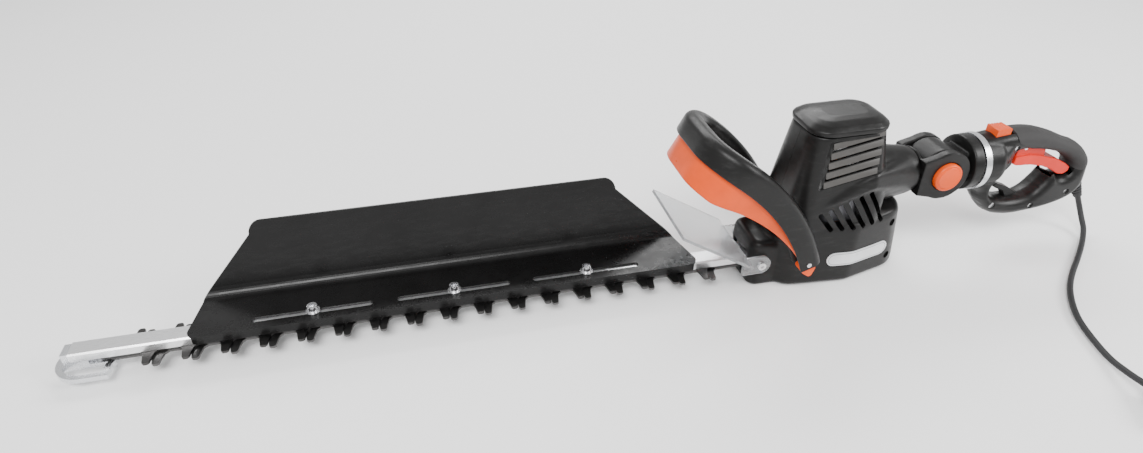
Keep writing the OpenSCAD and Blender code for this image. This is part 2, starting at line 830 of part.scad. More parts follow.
module hand_guard() {
  color("lightgray", 0.5) difference() {
    union() {
      translate([guard_x, 0, guard_z]) rotate([0, -guard_lean, 0]) translate([0, -guard_w / 2, 0])
        cube([guard_t, guard_w, guard_len]);
      both_sides() {
        // flange beside the nose
        translate([guard_screw[0], nose_half + GAP, guard_screw[1]]) cyl_y(11, guard_t);
        translate([guard_x - 3, nose_half + GAP, guard_screw[1] - 11]) cube([24, guard_t, 22]);
      }
    }
    both_sides() translate([guard_screw[0], nose_half - 1, guard_screw[1]]) cyl_y(2.5, 8);
    translate([-160, -12.5, rail_z - 4]) cube([80, 25, tongue_top - rail_z + 8]);
  }
}

module guard_screws() {
  color("silver") both_sides() translate([guard_screw[0], nose_half + GAP + guard_t, guard_screw[1]]) {
    rotate([-90, 0, 0]) socket_screw(4.5, 3, 2.5, guard_t + GAP + 2);
  }
}

// ---------- front bow ----------

bow_x = -48;
bow_z = 43;
bow_r = 38;
bow_u = 12;
bow_back = -16;
bow_front = 10;
bow_screw_x = -56;
bow_screw_z = 61;
bow_screw_y = 34.4;
lever_pin_s = 6;
bend_rate = (lean_top - lean_base) / bow_len;
bend_k = bend_rate * PI / 180;

function lean_at(s) = lean_base + bend_rate * s;

// Point at height y and curve length s, n in front of the curved sheet that the bow lies in
function bow_point(y, s, n) = let (a = lean_at(s)) [
  bow_x + (cos(a) - cos(lean_base)) / bend_k - n * cos(a),
  y,
  bow_z + (sin(a) - sin(lean_base)) / bend_k - n * sin(a)
];

// Stations along half of the arch: y, s, and the outward direction within the sheet
function half_arch(s0) = concat(
  [for (i = [0 : 6]) [-bow_half, lerp(s0, bow_len - bow_r, i / 7), -1, 0]],
  [for (i = [0 : 6]) let (t = 15 * i)
    [-(bow_half - bow_r) - bow_r * cos(t), bow_len - bow_r + bow_r * sin(t), -cos(t), sin(t)]]
);
function full_arch(s0) = let (h = half_arch(s0)) concat(
  h, [for (i = [len(h) - 1 : -1 : 0]) [-h[i][0], h[i][1], -h[i][2], h[i][3]]]
);

// Rounded rectangle section: u outwards, n forwards
function bow_section(u0, u1, n0, n1, r) = concat(
  [for (a = [0, 45, 90]) [u1 - r + r * cos(a), n1 - r + r * sin(a)]],
  [for (a = [90, 135, 180]) [u0 + r + r * cos(a), n1 - r + r * sin(a)]],
  [for (a = [180, 225, 270]) [u0 + r + r * cos(a), n0 + r + r * sin(a)]],
  [for (a = [270, 315, 360]) [u1 - r + r * cos(a), n0 + r + r * sin(a)]]
);

// Bar along the arch; taper 0 keeps its front edge, 1 brings it back at the base
module arch_bar(s0, u, n0, n1, n1_base, r) {
  arch = full_arch(s0);
  rings = [for (st = arch)
    let (front = lerp(n1_base, n1, max(0, min(1, st[1] / (bow_len - 20)))))
    [for (q = bow_section(-u, u, n0, front, r))
      bow_point(st[0] + q[0] * st[2], st[1] + q[0] * st[3], q[1])]];
  polyhedron(points = [for (ring = rings) each ring], faces = tube_faces(len(arch), 12), convexity = 10);
}

lever_pin_at = bow_point(0, lever_pin_s, 0);

module front_bow() {
  color("black") difference() {
    arch_bar(0, bow_u, bow_back, bow_front, bow_front, 5);
    arch_bar(-8, 8.5, bow_back + 4.5, bow_front + 10, bow_front + 10, 1);
    translate([lever_pin_at[0], -90, lever_pin_at[2]]) cyl_y(2.5, 180);
    both_sides() translate([bow_screw_x, body_half, bow_screw_z]) cyl_y(2, 5);
  }
}

module front_lever() {
  color("orangered") difference() {
    arch_bar(-3, 5, 0, bow_front + lever_reach - 8, 4, 1.8);
    translate([lever_pin_at[0], -90, lever_pin_at[2]]) cyl_y(2.5 + RUN, 180);
  }
}

module lever_pins() {
  color("silver") both_sides()
    translate([lever_pin_at[0], bow_half - bow_u + 0.5, lever_pin_at[2]]) cyl_y(2.5, 2 * bow_u - 1);
}

module bow_screws() {
  color("silver") both_sides() {
    translate([bow_screw_x, bow_screw_y - 2.4, bow_screw_z]) cyl_y(4, 2.4);
    translate([bow_screw_x, bow_screw_y, bow_screw_z]) cyl_y(2, body_half + 5 - bow_screw_y);
  }
}

module front_switch() {
  color("dimgray") {
    translate([-62, 18, 47]) cube([20, 10, 14]);
    translate([-54, 20, 61]) cube([4, 6, 2]);
  }
}

// ---------- tilt joint ----------

// Outline of a fork arm from the side
module fork_arm_outline() {
  circle(r = knuckle_r);
  polygon([[neck_end_x - tilt_x, -20], [-12, -25], [-12, 25], [neck_end_x - tilt_x, 20]]);
}

module tilt_fork() {
  color("black") difference() {
    union() {
      both_sides() translate([tilt_x, knuckle_w / 2, neck_z]) rotate([90, 0, 0])
        linear_extrude(knuckle_w / 2 - fork_inner - GAP) fork_arm_outline();
      translate([neck_end_x, 0, neck_z]) cyl_x(25, 3.4);
    }
    translate([tilt_x, -knuckle_w / 2 - EPS, neck_z]) cyl_y(button_r + GAP, 8 + EPS);
    translate([tilt_x, -knuckle_w, neck_z]) cyl_y(tilt_pin_r, knuckle_w + 24);
    translate([neck_end_x - EPS, 0, neck_z]) cyl_x(8, 5);
  }
}

module tilt_hub() {
  color("black") difference() {
    union() {
      translate([tilt_x, -fork_inner, neck_z]) cyl_y(knuckle_r - 1, 2 * fork_inner);
      translate([tilt_x, -15, neck_z - 18]) cube([34, 30, 36]);
      translate([tilt_x + knuckle_r + 3, 0, neck_z]) cyl_x(ring_r - 1, ring_x - tilt_x - knuckle_r - 3);
      translate([ring_x - 1, 0, neck_z]) cyl_x(20, ring_t + 1);
      translate([ring_x, 0, neck_z]) cyl_x(spindle_r, 25);
      translate([ring_x + 21, 0, neck_z]) cyl_x(spindle_flange_r, 4);
    }
    translate([tilt_x, -30, neck_z]) cyl_y(tilt_pin_r + RUN, 60);
    translate([tilt_x + 20, 0, neck_z]) cyl_x(8, 60);
  }
}

module tilt_pin() {
  color("silver") translate([tilt_x, -knuckle_w / 2 + 8, neck_z]) cyl_y(tilt_pin_r, knuckle_w - 11);
}

module tilt_button() {
  color("orangered") translate([tilt_x, -knuckle_w / 2, neck_z]) rotate([90, 0, 0]) difference() {
    union() {
      translate([0, 0, -8 + button_travel + GAP]) cylinder(r = button_r, h = 6 + GAP);
      translate([0, 0, 2]) cylinder(r1 = button_r, r2 = button_r - 1.5, h = 3);
    }
    translate([0, 0, -10]) cylinder(r = 6, h = 11);
  }
}

module tilt_spring() {
  color("silver") translate([tilt_x, -knuckle_w / 2 - 0.8, neck_z]) rotate([-90, 0, 0])
    coil_spring(4.5, 0.5, 4, 8.8);
}

module swivel_ring() {
  color("silver") translate([ring_x, 0, neck_z]) difference() {
    cyl_x(ring_r, ring_t);
    translate([-EPS, 0, 0]) cyl_x(20, ring_t + 2 * EPS);
  }
}

// ---------- rear handle ----------

// Outer outline of the handle from the side: x and height
grip_points = [
  [172.3, 86], [172.3, 110], [172.3, 136], [184, 142], [204, 144], [232, 144], [258, 138], [284, 127],
  [308, 117], [324, 100], [329, 80], [329, 62], [316, 47], [290, 38], [258, 34],
  [232, 34], [208, 41], [191, 59], [182, 74]
];
// Finger opening and the trigger's place
hole_points = [
  [219, 119], [219, 104], [207, 88], [203, 71], [214, 60], [238, 56], [260, 60], [273, 73],
  [282, 87], [291, 79], [301, 79], [307, 88], [299, 99], [280, 110], [250, 118]
];

function closed_curve(p, steps) = let (n = len(p)) [for (i = [0 : n - 1]) for (k = [0 : steps - 1])
  curve_point(p[(i + n - 1) % n], p[i], p[(i + 1) % n], p[(i + 2) % n], k / steps)];

// Closed outline moved by d along its left normal
function shifted(p, d) = let (n = len(p)) [for (i = [0 : n - 1])
  let (t = unit(p[(i + 1) % n] - p[(i + n - 1) % n])) p[i] + d * [-t[1], t[0]]];

grip_outline = closed_curve(grip_points, 3);
hole_outline = closed_curve(hole_points, 3);

handle_screw_at = [[212, 127], [208, 53], [262, 46], [306, 59]];
half_inner = grip_w / 2 - wall;
catch_x = 186;
catch_len = 18;
catch_travel = 5;
trigger_pin_at = [228, 124];

// Hook that takes a loop of the extension lead
module cable_hook_outline() {
  polygon([[248, 59], [232, 69], [215, 76], [211, 74], [213, 71], [227, 64], [233, 55]]);
}

// Half of the handle on the +Y side of the middle plane
module handle_half() {
  half = grip_w / 2;
  difference() {
    union() {
      rotate([90, 0, 0]) translate([0, 0, -half]) linear_extrude(half) difference() {
        polygon(grip_outline);
        polygon(hole_outline);
      }
      translate([handle_x, 0, neck_z]) intersection() {
        cyl_x(ring_r - 2, 24);
        translate([-1, 0, -40]) cube([60, 40, 80]);
      }
      rotate([90, 0, 0]) translate([0, 0, -5]) linear_extrude(5) cable_hook_outline();
    }
    // inner space
    difference() {
      rotate([90, 0, 0]) translate([0, 0, -half + wall]) linear_extrude(half) difference() {
        polygon(shifted(grip_outline, -wall));
        polygon(shifted(hole_outline, -wall));
      }
      translate([160, -20, 20]) cube([35, 60, 140]);
      for (p = handle_screw_at) translate([p[0], -1, p[1]]) cyl_y(5, 40);
    }
    translate([handle_x - 20, -60, 0]) cube([20, 120, 200]);
    // swivel bearing
    translate([handle_x - EPS, 0, neck_z]) cyl_x(spindle_r + RUN, 14);
    translate([ring_x + 21 - GAP, 0, neck_z]) cyl_x(spindle_flange_r + GAP, 4 + 2 * GAP);
    translate([ring_x + 21, 0, neck_z]) cyl_x(8, 30);
    // catch pocket
    translate([catch_x - GAP, -1, neck_z + 23]) cube([catch_len + catch_travel + 2 * GAP + 0.5, 10.3, 30]);
    // slot for the trigger
    translate([216, -1, 79]) cube([94, 12.6, 33]);
    translate([216, -1, 95]) cube([60, 9.6, 36]);
    for (p = handle_screw_at) translate([p[0], -20, p[1]]) cyl_y(1.8, 32);
    translate([trigger_pin_at[0], -20, trigger_pin_at[1]]) cyl_y(2, 33);
  }
}

module handle_left() {
  color("black") difference() {
    handle_half();
    strain_form();
  }
}

module handle_right() {
  color("black") difference() {
    mirror([0, 1, 0]) handle_half();
    for (p = handle_screw_at) translate([p[0], -40, p[1]]) cyl_y(3.5, 28);
    strain_form();
  }
}

module handle_screws() {
  color("silver") for (p = handle_screw_at) translate([p[0], -14.4, p[1]]) {
    cyl_y(3.5, 2.4);
    translate([0, 2.4, 0]) cyl_y(1.8, 22);
  }
}

module rotation_catch() {
  color("orangered") difference() {
    translate([catch_x, -9, neck_z + 24]) cube([catch_len, 18, 15]);
    translate([catch_x + 9, 0, neck_z + 29]) cyl_x(3, 10);
    for (i = [0 : 3]) translate([catch_x + 3 + 3.5 * i, -10, neck_z + 38]) cube([1.5, 20, 2]);
  }
}

module catch_spring() {
  color("silver") translate([catch_x + 9.4, 0, neck_z + 29]) rotate([0, 90, 0]) coil_spring(2.2, 0.45, 3, 14);
}

// Trigger from the side
module trigger() {
  color("red") difference() {
    union() {
      rotate([90, 0, 0]) translate([0, 0, -11]) linear_extrude(22) polygon([
        [221, 112], [221, 103], [226, 101], [244, 100], [262, 96], [276, 90],
        [288, 82.5], [296, 81], [302, 84.5], [302, 90], [295, 95], [280, 103], [256, 110], [240, 113]
      ]);
      rotate([90, 0, 0]) translate([0, 0, -8]) linear_extrude(16) polygon([
        [223, 111], [223, 126], [233, 128], [250, 120], [262, 116], [262, 106]
      ]);
    }
    translate([trigger_pin_at[0], -20, trigger_pin_at[1]]) cyl_y(2 + RUN, 40);
  }
}

module trigger_pin() {
  color("silver") translate([trigger_pin_at[0], -13, trigger_pin_at[1]]) cyl_y(2, 26);
}

module main_switch() {
  color("dimgray") {
    translate([244, -8, 127]) cube([18, 16, 5.5]);
    translate([250, -half_inner, 127]) cube([6, 2 * half_inner, 4]);
  }
}

// ---------- cord ----------

cord_r = 3.3;
relief_dir = unit([0.5, -0.15, -0.85]);
relief_tip = [341, -5, 42];
relief_len = 30;

// Route along the middle of the cord
cord_route = [
  relief_tip, [346, -8, 30], [347, -16, 18], [343, -28, 9], [332, -41, 4], [314, -57, 4], [292, -75, 4],
  [268, -94, 4], [246, -114, 4], [227, -137, 4], [212, -162, 4], [202, -190, 4], [195, -217, 5],
  [191, -240, 9], [190, -262, 13]
];

// Turned so that its axis follows the relief direction, tip at the origin
module along_relief() {
  a = atan2(relief_dir[1], relief_dir[0]);
  b = acos(relief_dir[2]);
  translate(relief_tip) rotate([0, b, a]) children();
}

module strain_form() {
  along_relief() translate([0, 0, -relief_len]) cylinder(r1 = 8, r2 = 4.8, h = relief_len);
}

module strain_relief() {
  color("black") difference() {
    strain_form();
    for (i = [0 : 3]) along_relief() translate([0, 0, -5 - 4 * i]) difference() {
      cylinder(r = 9, h = 1.6);
      translate([0, 0, -EPS]) cylinder(r = 4.5, h = 3);
    }
  }
}

module power_cord() {
  color("black") tube_along(smooth_route(cord_route, 2), cord_r, 10, [1, 0, 1]);
}

plug_z = 13;
plug_pin_r = 2.4;
plug_pin_len = 19;
plug_x = 190;
plug_y = -262;

module plug() {
  color("black") hull() {
    translate([plug_x, plug_y - 4, plug_z]) cyl_y(6, 4, $fn = HULL_FN);
    for (s = [-1, 1]) translate([plug_x + s * 5, plug_y - 26, plug_z]) cyl_y(9, 2, $fn = HULL_FN);
    for (s = [-1, 1]) translate([plug_x + s * 5, plug_y - 42, plug_z]) cyl_y(12.8, 12, $fn = HULL_FN);
  }
  color("silver") for (s = [-1, 1])
    translate([plug_x + s * 9.5, plug_y - 42 - plug_pin_len, plug_z]) cyl_y(plug_pin_r, plug_pin_len);
}

upper_blade();
lower_blade();
blade_rail();
blade_screws();
blade_washers();
tip_guard();
tip_screws();
collector();
collector_bolts();
collector_washers();
rail_screws();
gearbox_housing();
gearbox_plate();
gearbox_screws();
gear_shaft();
drive_gear();
thrust_spacer();
motor_shaft();
armature_core();
armature_winding();
commutator();
cooling_fan();
lower_bearing();
upper_bearing();
stator_core();
stator_coils();
bearing_bracket();
brush_holders();
carbon_brushes();
brush_springs();
right_shell();
left_shell();
motor_cap();
shell_screws();
badge();
hand_guard();
guard_screws();
front_bow();
front_lever();
lever_pins();
bow_screws();
front_switch();
tilt_fork();
tilt_hub();
tilt_pin();
tilt_button();
tilt_spring();
swivel_ring();
rotation_catch();
catch_spring();
handle_right();
handle_left();
handle_screws();
trigger();
trigger_pin();
main_switch();
strain_relief();
power_cord();
plug();
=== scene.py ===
"""Looks of the hedge trimmer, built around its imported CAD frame. Metres, in the row frame."""

import math

import bmesh
import bpy
import numpy as np
from mathutils import Matrix, Vector


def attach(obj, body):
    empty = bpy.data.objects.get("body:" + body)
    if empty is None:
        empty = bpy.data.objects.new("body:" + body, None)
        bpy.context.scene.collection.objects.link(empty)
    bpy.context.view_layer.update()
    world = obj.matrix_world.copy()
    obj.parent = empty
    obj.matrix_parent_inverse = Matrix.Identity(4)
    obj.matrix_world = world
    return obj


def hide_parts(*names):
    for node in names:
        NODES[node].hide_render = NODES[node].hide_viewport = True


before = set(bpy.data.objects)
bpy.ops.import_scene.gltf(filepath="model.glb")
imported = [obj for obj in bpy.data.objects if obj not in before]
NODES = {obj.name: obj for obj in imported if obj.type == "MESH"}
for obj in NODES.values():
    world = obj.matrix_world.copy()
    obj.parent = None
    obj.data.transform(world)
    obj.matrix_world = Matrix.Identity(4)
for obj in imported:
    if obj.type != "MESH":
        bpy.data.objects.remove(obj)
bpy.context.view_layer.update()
MM = 0.001
FINE = 1.0   # voxels grow while trying things out
SIDES = (-1, 1)                     # right half (near the camera), left half
QUARTER = math.pi / 2
LEAST_R = 0.001                     # radius that closes a turned end

# ---------------------------------------------------------------- camera

camera = bpy.data.objects.new("camera", bpy.data.cameras.new("camera"))
bpy.context.scene.collection.objects.link(camera)
bpy.context.scene.camera = camera
camera.data.lens = 22.6
camera.data.sensor_width = 36
camera.data.clip_start = 0.01
camera.data.clip_end = 50
camera.matrix_world = Matrix((
    (0.9737, 0.1295, -0.1874, -0.4247),
    (-0.2278, 0.5459, -0.8063, -0.5877),
    (-0.0022, 0.8278, 0.5610, 0.5004),
    (0, 0, 0, 1),
))

# ---------------------------------------------------------------- mesh helpers


def add_object(name, mesh):
    """Links a mesh to the scene as a new object."""
    obj = bpy.data.objects.new(name, mesh)
    bpy.context.scene.collection.objects.link(obj)
    return obj


def solid(name, points, faces):
    """An object from points in millimetres."""
    mesh = bpy.data.meshes.new(name)
    mesh.from_pydata([[c * MM for c in p] for p in points], [], faces)
    mesh.update()
    bm = bmesh.new()
    bm.from_mesh(mesh)
    bmesh.ops.recalc_face_normals(bm, faces=bm.faces)
    bm.to_mesh(mesh)
    bm.free()
    return add_object(name, mesh)


def hull(name, points):
    """Convex hull of points in millimetres."""
    bm = bmesh.new()
    for p in points:
        bm.verts.new([c * MM for c in p])
    out = bmesh.ops.convex_hull(bm, input=bm.verts)
    spare = out["geom_interior"] + out["geom_unused"]
    loose = {g for g in spare if isinstance(g, bmesh.types.BMVert)}
    bmesh.ops.delete(bm, geom=list(loose), context="VERTS")
    bmesh.ops.recalc_face_normals(bm, faces=bm.faces)
    mesh = bpy.data.meshes.new(name)
    bm.to_mesh(mesh)
    bm.free()
    return add_object(name, mesh)


def round_points(r, n):
    """Points of a circle of radius r about the origin, as pairs."""
    turns = [2 * math.pi * i / n for i in range(n)]
    return [(r * math.cos(a), r * math.sin(a)) for a in turns]


def disc(x, y, z, r, n=48):
    """Points of a level circle."""
    return [(x + u, y + v, z) for u, v in round_points(r, n)]


def disc_x(x, y, z, r, n=48):
    """Points of an upright circle facing along X."""
    return [(x, y + u, z + v) for u, v in round_points(r, n)]


def disc_y(x, y, z, r, n=48):
    """Points of an upright circle facing along Y."""
    return [(x + u, y, z + v) for u, v in round_points(r, n)]


def block(name, low, high):
    """Box between two corners in millimetres."""
    ends = list(zip(low, high))
    return hull(name, [(x, y, z) for x in ends[0] for y in ends[1] for z in ends[2]])


def ring_faces(rings, n):
    """Faces of a closed body made of rings of n points each."""
    faces = []
    for k in range(rings - 1):
        for i in range(n):
            j = (i + 1) % n
            faces.append((k * n + i, k * n + j, (k + 1) * n + j, (k + 1) * n + i))
    faces.append(tuple(range(n)))
    faces.append(tuple((rings - 1) * n + i for i in range(n)))
    return faces


def lathe(name, profile, matrix, n=64):
    """Closed body turned about local Z from (radius, height) pairs in millimetres."""
    points = [(u, v, h) for r, h in profile for u, v in round_points(max(r, LEAST_R), n)]
    obj = solid(name, points, ring_faces(len(profile), n))
    obj.data.transform(matrix)
    return obj


def facing_near(x, y, z):
    """Places a turned body with its axis along -Y."""
    return Matrix.Translation(Vector((x, y, z)) * MM) @ Matrix.Rotation(QUARTER, 4, "X")


def evaluated(obj):
    """Applies the modifiers of obj."""
    graph = bpy.context.evaluated_depsgraph_get()
    mesh = bpy.data.meshes.new_from_object(obj.evaluated_get(graph))
    old = obj.data
    obj.modifiers.clear()
    obj.data = mesh
    if old.users == 0:
        bpy.data.meshes.remove(old)
    return obj


def joined(name, objects):
    """One object from several, which are removed."""
    bm = bmesh.new()
    for o in objects:
        bm.from_mesh(o.data)
    mesh = bpy.data.meshes.new(name)
    bm.to_mesh(mesh)
    bm.free()
    for o in objects:
        bpy.data.objects.remove(o)
    return add_object(name, mesh)


def cut(obj, other, operation="DIFFERENCE", keep=False):
    """Boolean of obj with other, which is removed unless kept."""
    m = obj.modifiers.new("cut", "BOOLEAN")
    m.solver = "MANIFOLD"
    m.operation = operation
    m.object = other
    evaluated(obj)
    if not keep:
        bpy.data.objects.remove(other)
    return obj


def softened(obj, voxel, passes):
    """Rounds every edge: voxel remesh, then smoothing."""
    m = obj.modifiers.new("remesh", "REMESH")
    m.mode = "VOXEL"
    m.voxel_size = voxel * MM * FINE
    s = obj.modifiers.new("smooth", "SMOOTH")
    s.factor = 0.5
    s.iterations = max(1, int(passes / FINE))
    return evaluated(obj)


def copy_of(name, node_name):
    """A free copy of a CAD node, for a softer piece that replaces it."""
    bm = bmesh.new()
    bm.from_mesh(NODES[node_name].data)
    bmesh.ops.remove_doubles(bm, verts=bm.verts, dist=1e-6)
    mesh = bpy.data.meshes.new(name)
    bm.to_mesh(mesh)
    bm.free()
    return add_object(name, mesh)


def shaded(obj, material, angle):
    """Smooth shading up to an angle in degrees, and one material."""
    obj.data.polygons.foreach_set("use_smooth", [True] * len(obj.data.polygons))
    obj.data.set_sharp_from_angle(angle=math.radians(angle))
    obj.data.materials.clear()
    obj.data.materials.append(material)


def finish_piece(obj, body, material, slot, *replaced, angle=38):
    """Shades a piece, fixes it to its CAD body and hides the CAD parts it replaces."""
    shaded(obj, material, angle)
    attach(obj, body)
    if replaced:
        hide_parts(*replaced)
    return obj


# ---------------------------------------------------------------- materials


def tree_of(name):
    """A new node material, its tree and its main shader."""
    material = bpy.data.materials.new(name)
    material.use_nodes = True
    tree = material.node_tree
    return material, tree, tree.nodes["Principled BSDF"]


def node(tree, kind, **values):
    """Adds a shader node."""
    n = tree.nodes.new(kind)
    for key, value in values.items():
        setattr(n, key, value)
    return n


def coordinates(tree, stretch=(1, 1, 1)):
    """Object coordinates, stretched along each axis."""
    tc = node(tree, "ShaderNodeTexCoord")
    mp = node(tree, "ShaderNodeMapping")
    mp.inputs["Scale"].default_value = stretch
    tree.links.new(tc.outputs["Object"], mp.inputs["Vector"])
    return mp.outputs["Vector"]


def noise(tree, vector, scale, detail=3.0, rough=0.55):
    """Value of a noise texture."""
    n = node(tree, "ShaderNodeTexNoise")
    n.inputs["Scale"].default_value = scale
    n.inputs["Detail"].default_value = detail
    n.inputs["Roughness"].default_value = rough
    tree.links.new(vector, n.inputs["Vector"])
    return n.outputs["Fac"]


def ranged(tree, value, low, high, from_low=0.3, from_high=0.7):
    """Value spread over a new range."""
    m = node(tree, "ShaderNodeMapRange")
    m.inputs["From Min"].default_value = from_low
    m.inputs["From Max"].default_value = from_high
    m.inputs["To Min"].default_value = low
    m.inputs["To Max"].default_value = high
    tree.links.new(value, m.inputs["Value"])
    return m.outputs["Result"]


def mixed(tree, factor, a, b):
    """Colour between a and b; each is a colour or a socket."""
    m = node(tree, "ShaderNodeMix", data_type="RGBA")
    tree.links.new(factor, m.inputs["Factor"])
    for socket, value in (("A", a), ("B", b)):
        target = [i for i in m.inputs if i.name == socket and i.type == "RGBA"][0]
        if isinstance(value, bpy.types.NodeSocket):
            tree.links.new(value, target)
        else:
            target.default_value = (*value, 1)
    return [o for o in m.outputs if o.type == "RGBA"][0]


def bumped(tree, bsdf, height, strength, distance, under=None):
    """Adds relief to a shader, over any relief already there."""
    b = node(tree, "ShaderNodeBump")
    b.inputs["Strength"].default_value = strength
    b.inputs["Distance"].default_value = distance
    tree.links.new(height, b.inputs["Height"])
    if under is not None:
        tree.links.new(under, b.inputs["Normal"])
    tree.links.new(b.outputs["Normal"], bsdf.inputs["Normal"])
    return b.outputs["Normal"]


def plastic(name, colour, rough=0.42, grain=1.0, dust=0.25, coat=0.0):
    """Moulded plastic: fine spark-eroded grain, soft handling marks and a little dust."""
    material, tree, bsdf = tree_of(name)
    v = coordinates(tree)
    patches = noise(tree, v, 14, 4)
    marks = noise(tree, coordinates(tree, (1, 1, 3.5)), 60, 5, 0.65)
    lighter = [min(1, c * 1.25 + 0.002) for c in colour]
    darker = [c * 0.8 for c in colour]
    base = mixed(tree, ranged(tree, patches, 0, 1), darker, lighter)
    pale = [min(1, c + 0.05) for c in colour]
    dusty = mixed(tree, ranged(tree, marks, 0, dust, 0.52, 0.8), base, pale)
    tree.links.new(dusty, bsdf.inputs["Base Color"])
    tree.links.new(ranged(tree, marks, rough - 0.07, rough + 0.1), bsdf.inputs["Roughness"])
    bsdf.inputs["Specular IOR Level"].default_value = 0.24
    bsdf.inputs["Coat Weight"].default_value = coat
    bsdf.inputs["Coat Roughness"].default_value = 0.2
    wave = bumped(tree, bsdf, noise(tree, v, 35, 2), 0.12, 0.0006)
    bumped(tree, bsdf, noise(tree, v, 2600, 2), 0.22 * grain, 0.00012, wave)
    return material


def metal(name, colour, rough=0.3, stretch=(1, 12, 12), scale=160, wear=0.3, scratch=0.15):
    """Metal with directional grinding marks, stains and fine scratches."""
    material, tree, bsdf = tree_of(name)
    lines = noise(tree, coordinates(tree, stretch), scale, 4, 0.7)
    stains = noise(tree, coordinates(tree), 22, 5)
    base = mixed(tree, ranged(tree, stains, 0, wear, 0.45, 0.75), colour, [c * 0.55 for c in colour])
    ground = mixed(tree, ranged(tree, lines, 0, 0.35), base, [min(1, c * 1.2) for c in colour])
    tree.links.new(ground, bsdf.inputs["Base Color"])
    bsdf.inputs["Metallic"].default_value = 1
    tree.links.new(ranged(tree, lines, rough - 0.08, rough + 0.12), bsdf.inputs["Roughness"])
    under = bumped(tree, bsdf, stains, 0.05, 0.0004)
    bumped(tree, bsdf, lines, scratch, 0.00008, under)
    return material


def rubber(name, colour, rough=0.62, scale=900):
    """Dull rubber with scuffs."""
    material, tree, bsdf = tree_of(name)
    v = coordinates(tree)
    scuffs = noise(tree, v, 45, 5, 0.6)
    scuffed = [c * 2.2 + 0.01 for c in colour]
    base = mixed(tree, ranged(tree, scuffs, 0, 0.5, 0.45, 0.8), colour, scuffed)
    tree.links.new(base, bsdf.inputs["Base Color"])
    tree.links.new(ranged(tree, scuffs, rough - 0.08, rough + 0.12), bsdf.inputs["Roughness"])
    bumped(tree, bsdf, noise(tree, v, scale, 3), 0.3, 0.0002)
    return material


def clear_plastic(name):
    """Clear sheet with a grey cast, faint haze and scratches."""
    material, tree, bsdf = tree_of(name)
    v = coordinates(tree)
    haze = noise(tree, v, 20, 5)
    lines = noise(tree, coordinates(tree, (1, 9, 1)), 240, 5, 0.75)
    base = mixed(tree, ranged(tree, haze, 0, 1), (0.80, 0.83, 0.85), (0.93, 0.94, 0.95))
    tree.links.new(base, bsdf.inputs["Base Color"])
    bsdf.inputs["Transmission Weight"].default_value = 0.86
    bsdf.inputs["IOR"].default_value = 1.49
    tree.links.new(ranged(tree, lines, 0.10, 0.26), bsdf.inputs["Roughness"])
    bumped(tree, bsdf, lines, 0.06, 0.0001)
    return material


def winding(name, colour, scale):
    """Lacquered copper wire, seen as close turns."""
    material, tree, bsdf = tree_of(name)
    v = coordinates(tree)
    w = node(tree, "ShaderNodeTexWave", wave_type="BANDS", bands_direction="Z")
    w.inputs["Scale"].default_value = scale
    w.inputs["Distortion"].default_value = 1.5
    tree.links.new(v, w.inputs["Vector"])
    base = mixed(tree, w.outputs["Fac"], [c * 0.45 for c in colour], colour)
    tree.links.new(base, bsdf.inputs["Base Color"])
    bsdf.inputs["Metallic"].default_value = 0.7
    tree.links.new(ranged(tree, noise(tree, v, 80), 0.25, 0.45), bsdf.inputs["Roughness"])
    bumped(tree, bsdf, w.outputs["Fac"], 0.5, 0.0003)
    return material


BLACK = (0.0050, 0.0048, 0.0046)
black = plastic("black_plastic", BLACK, 0.36)
black_cap = plastic("cap_plastic", (0.0058, 0.0055, 0.0053), 0.33)
# louvre slats: the body's black plastic painted lighter grey, a painted highlight for their tilted
# faces
louvre_painted_highlight = plastic("louvre_plastic_painted_highlight", (0.060, 0.057, 0.054), 0.42)
black_sheet = plastic("sheet_plastic", (0.0030, 0.0028, 0.0028), 0.27, 0.4, 0.03)
orange = plastic("orange_plastic", (0.72, 0.075, 0.006), 0.34, 0.5, 0.06)
red = plastic("red_plastic", (0.62, 0.018, 0.006), 0.34, 0.5, 0.06)
white = plastic("badge_plate", (0.62, 0.63, 0.64), 0.28, 0.2, 0.15, 0.3)
dark_line = plastic("badge_line", (0.10, 0.11, 0.13), 0.35, 0.2, 0.1)
grey = plastic("switch_plastic", (0.06, 0.06, 0.06), 0.5)
fan_grey = plastic("fan_plastic", (0.05, 0.052, 0.055), 0.45)
carbon = rubber("carbon", (0.02, 0.02, 0.02), 0.55, 1800)
silver = metal("ring_metal", (0.72, 0.73, 0.75), 0.26, (14, 1, 1), 120, 0.12, 0.1)
steel = metal("blade_steel", (0.075, 0.073, 0.072), 0.34, (1, 14, 14), 140, 0.45)
dark_steel = metal("lower_blade_steel", (0.11, 0.108, 0.107), 0.34, (1, 14, 14), 140, 0.5)
aluminium = metal("rail_metal", (0.84, 0.84, 0.85), 0.30, (1, 16, 16), 130, 0.15)
zinc = metal("screw_steel", (0.70, 0.70, 0.71), 0.24, (6, 6, 1), 220, 0.2, 0.08)
cast = metal("cast_metal", (0.46, 0.46, 0.47), 0.48, (1, 1, 1), 420, 0.35, 0.3)
gear_steel = metal("gear_steel", (0.38, 0.38, 0.39), 0.32, (1, 1, 10), 180, 0.4)
lamination = metal("lamination", (0.26, 0.26, 0.28), 0.42, (1, 1, 60), 60, 0.4, 0.5)
bronze = metal("bronze", (0.62, 0.43, 0.20), 0.4, (1, 1, 1), 300, 0.3, 0.2)
polished = metal("bearing_steel", (0.72, 0.72, 0.74), 0.16, (1, 1, 6), 120, 0.1, 0.05)
copper = winding("copper", (0.68, 0.29, 0.12), 900)
clear = clear_plastic("clear_plastic")
black_rubber = rubber("cord_rubber", (0.012, 0.012, 0.013))
grip_rubber = rubber("grip_rubber", (0.018, 0.017, 0.017), 0.7, 1400)

# ---------------------------------------------------------------- cord, relief and plug

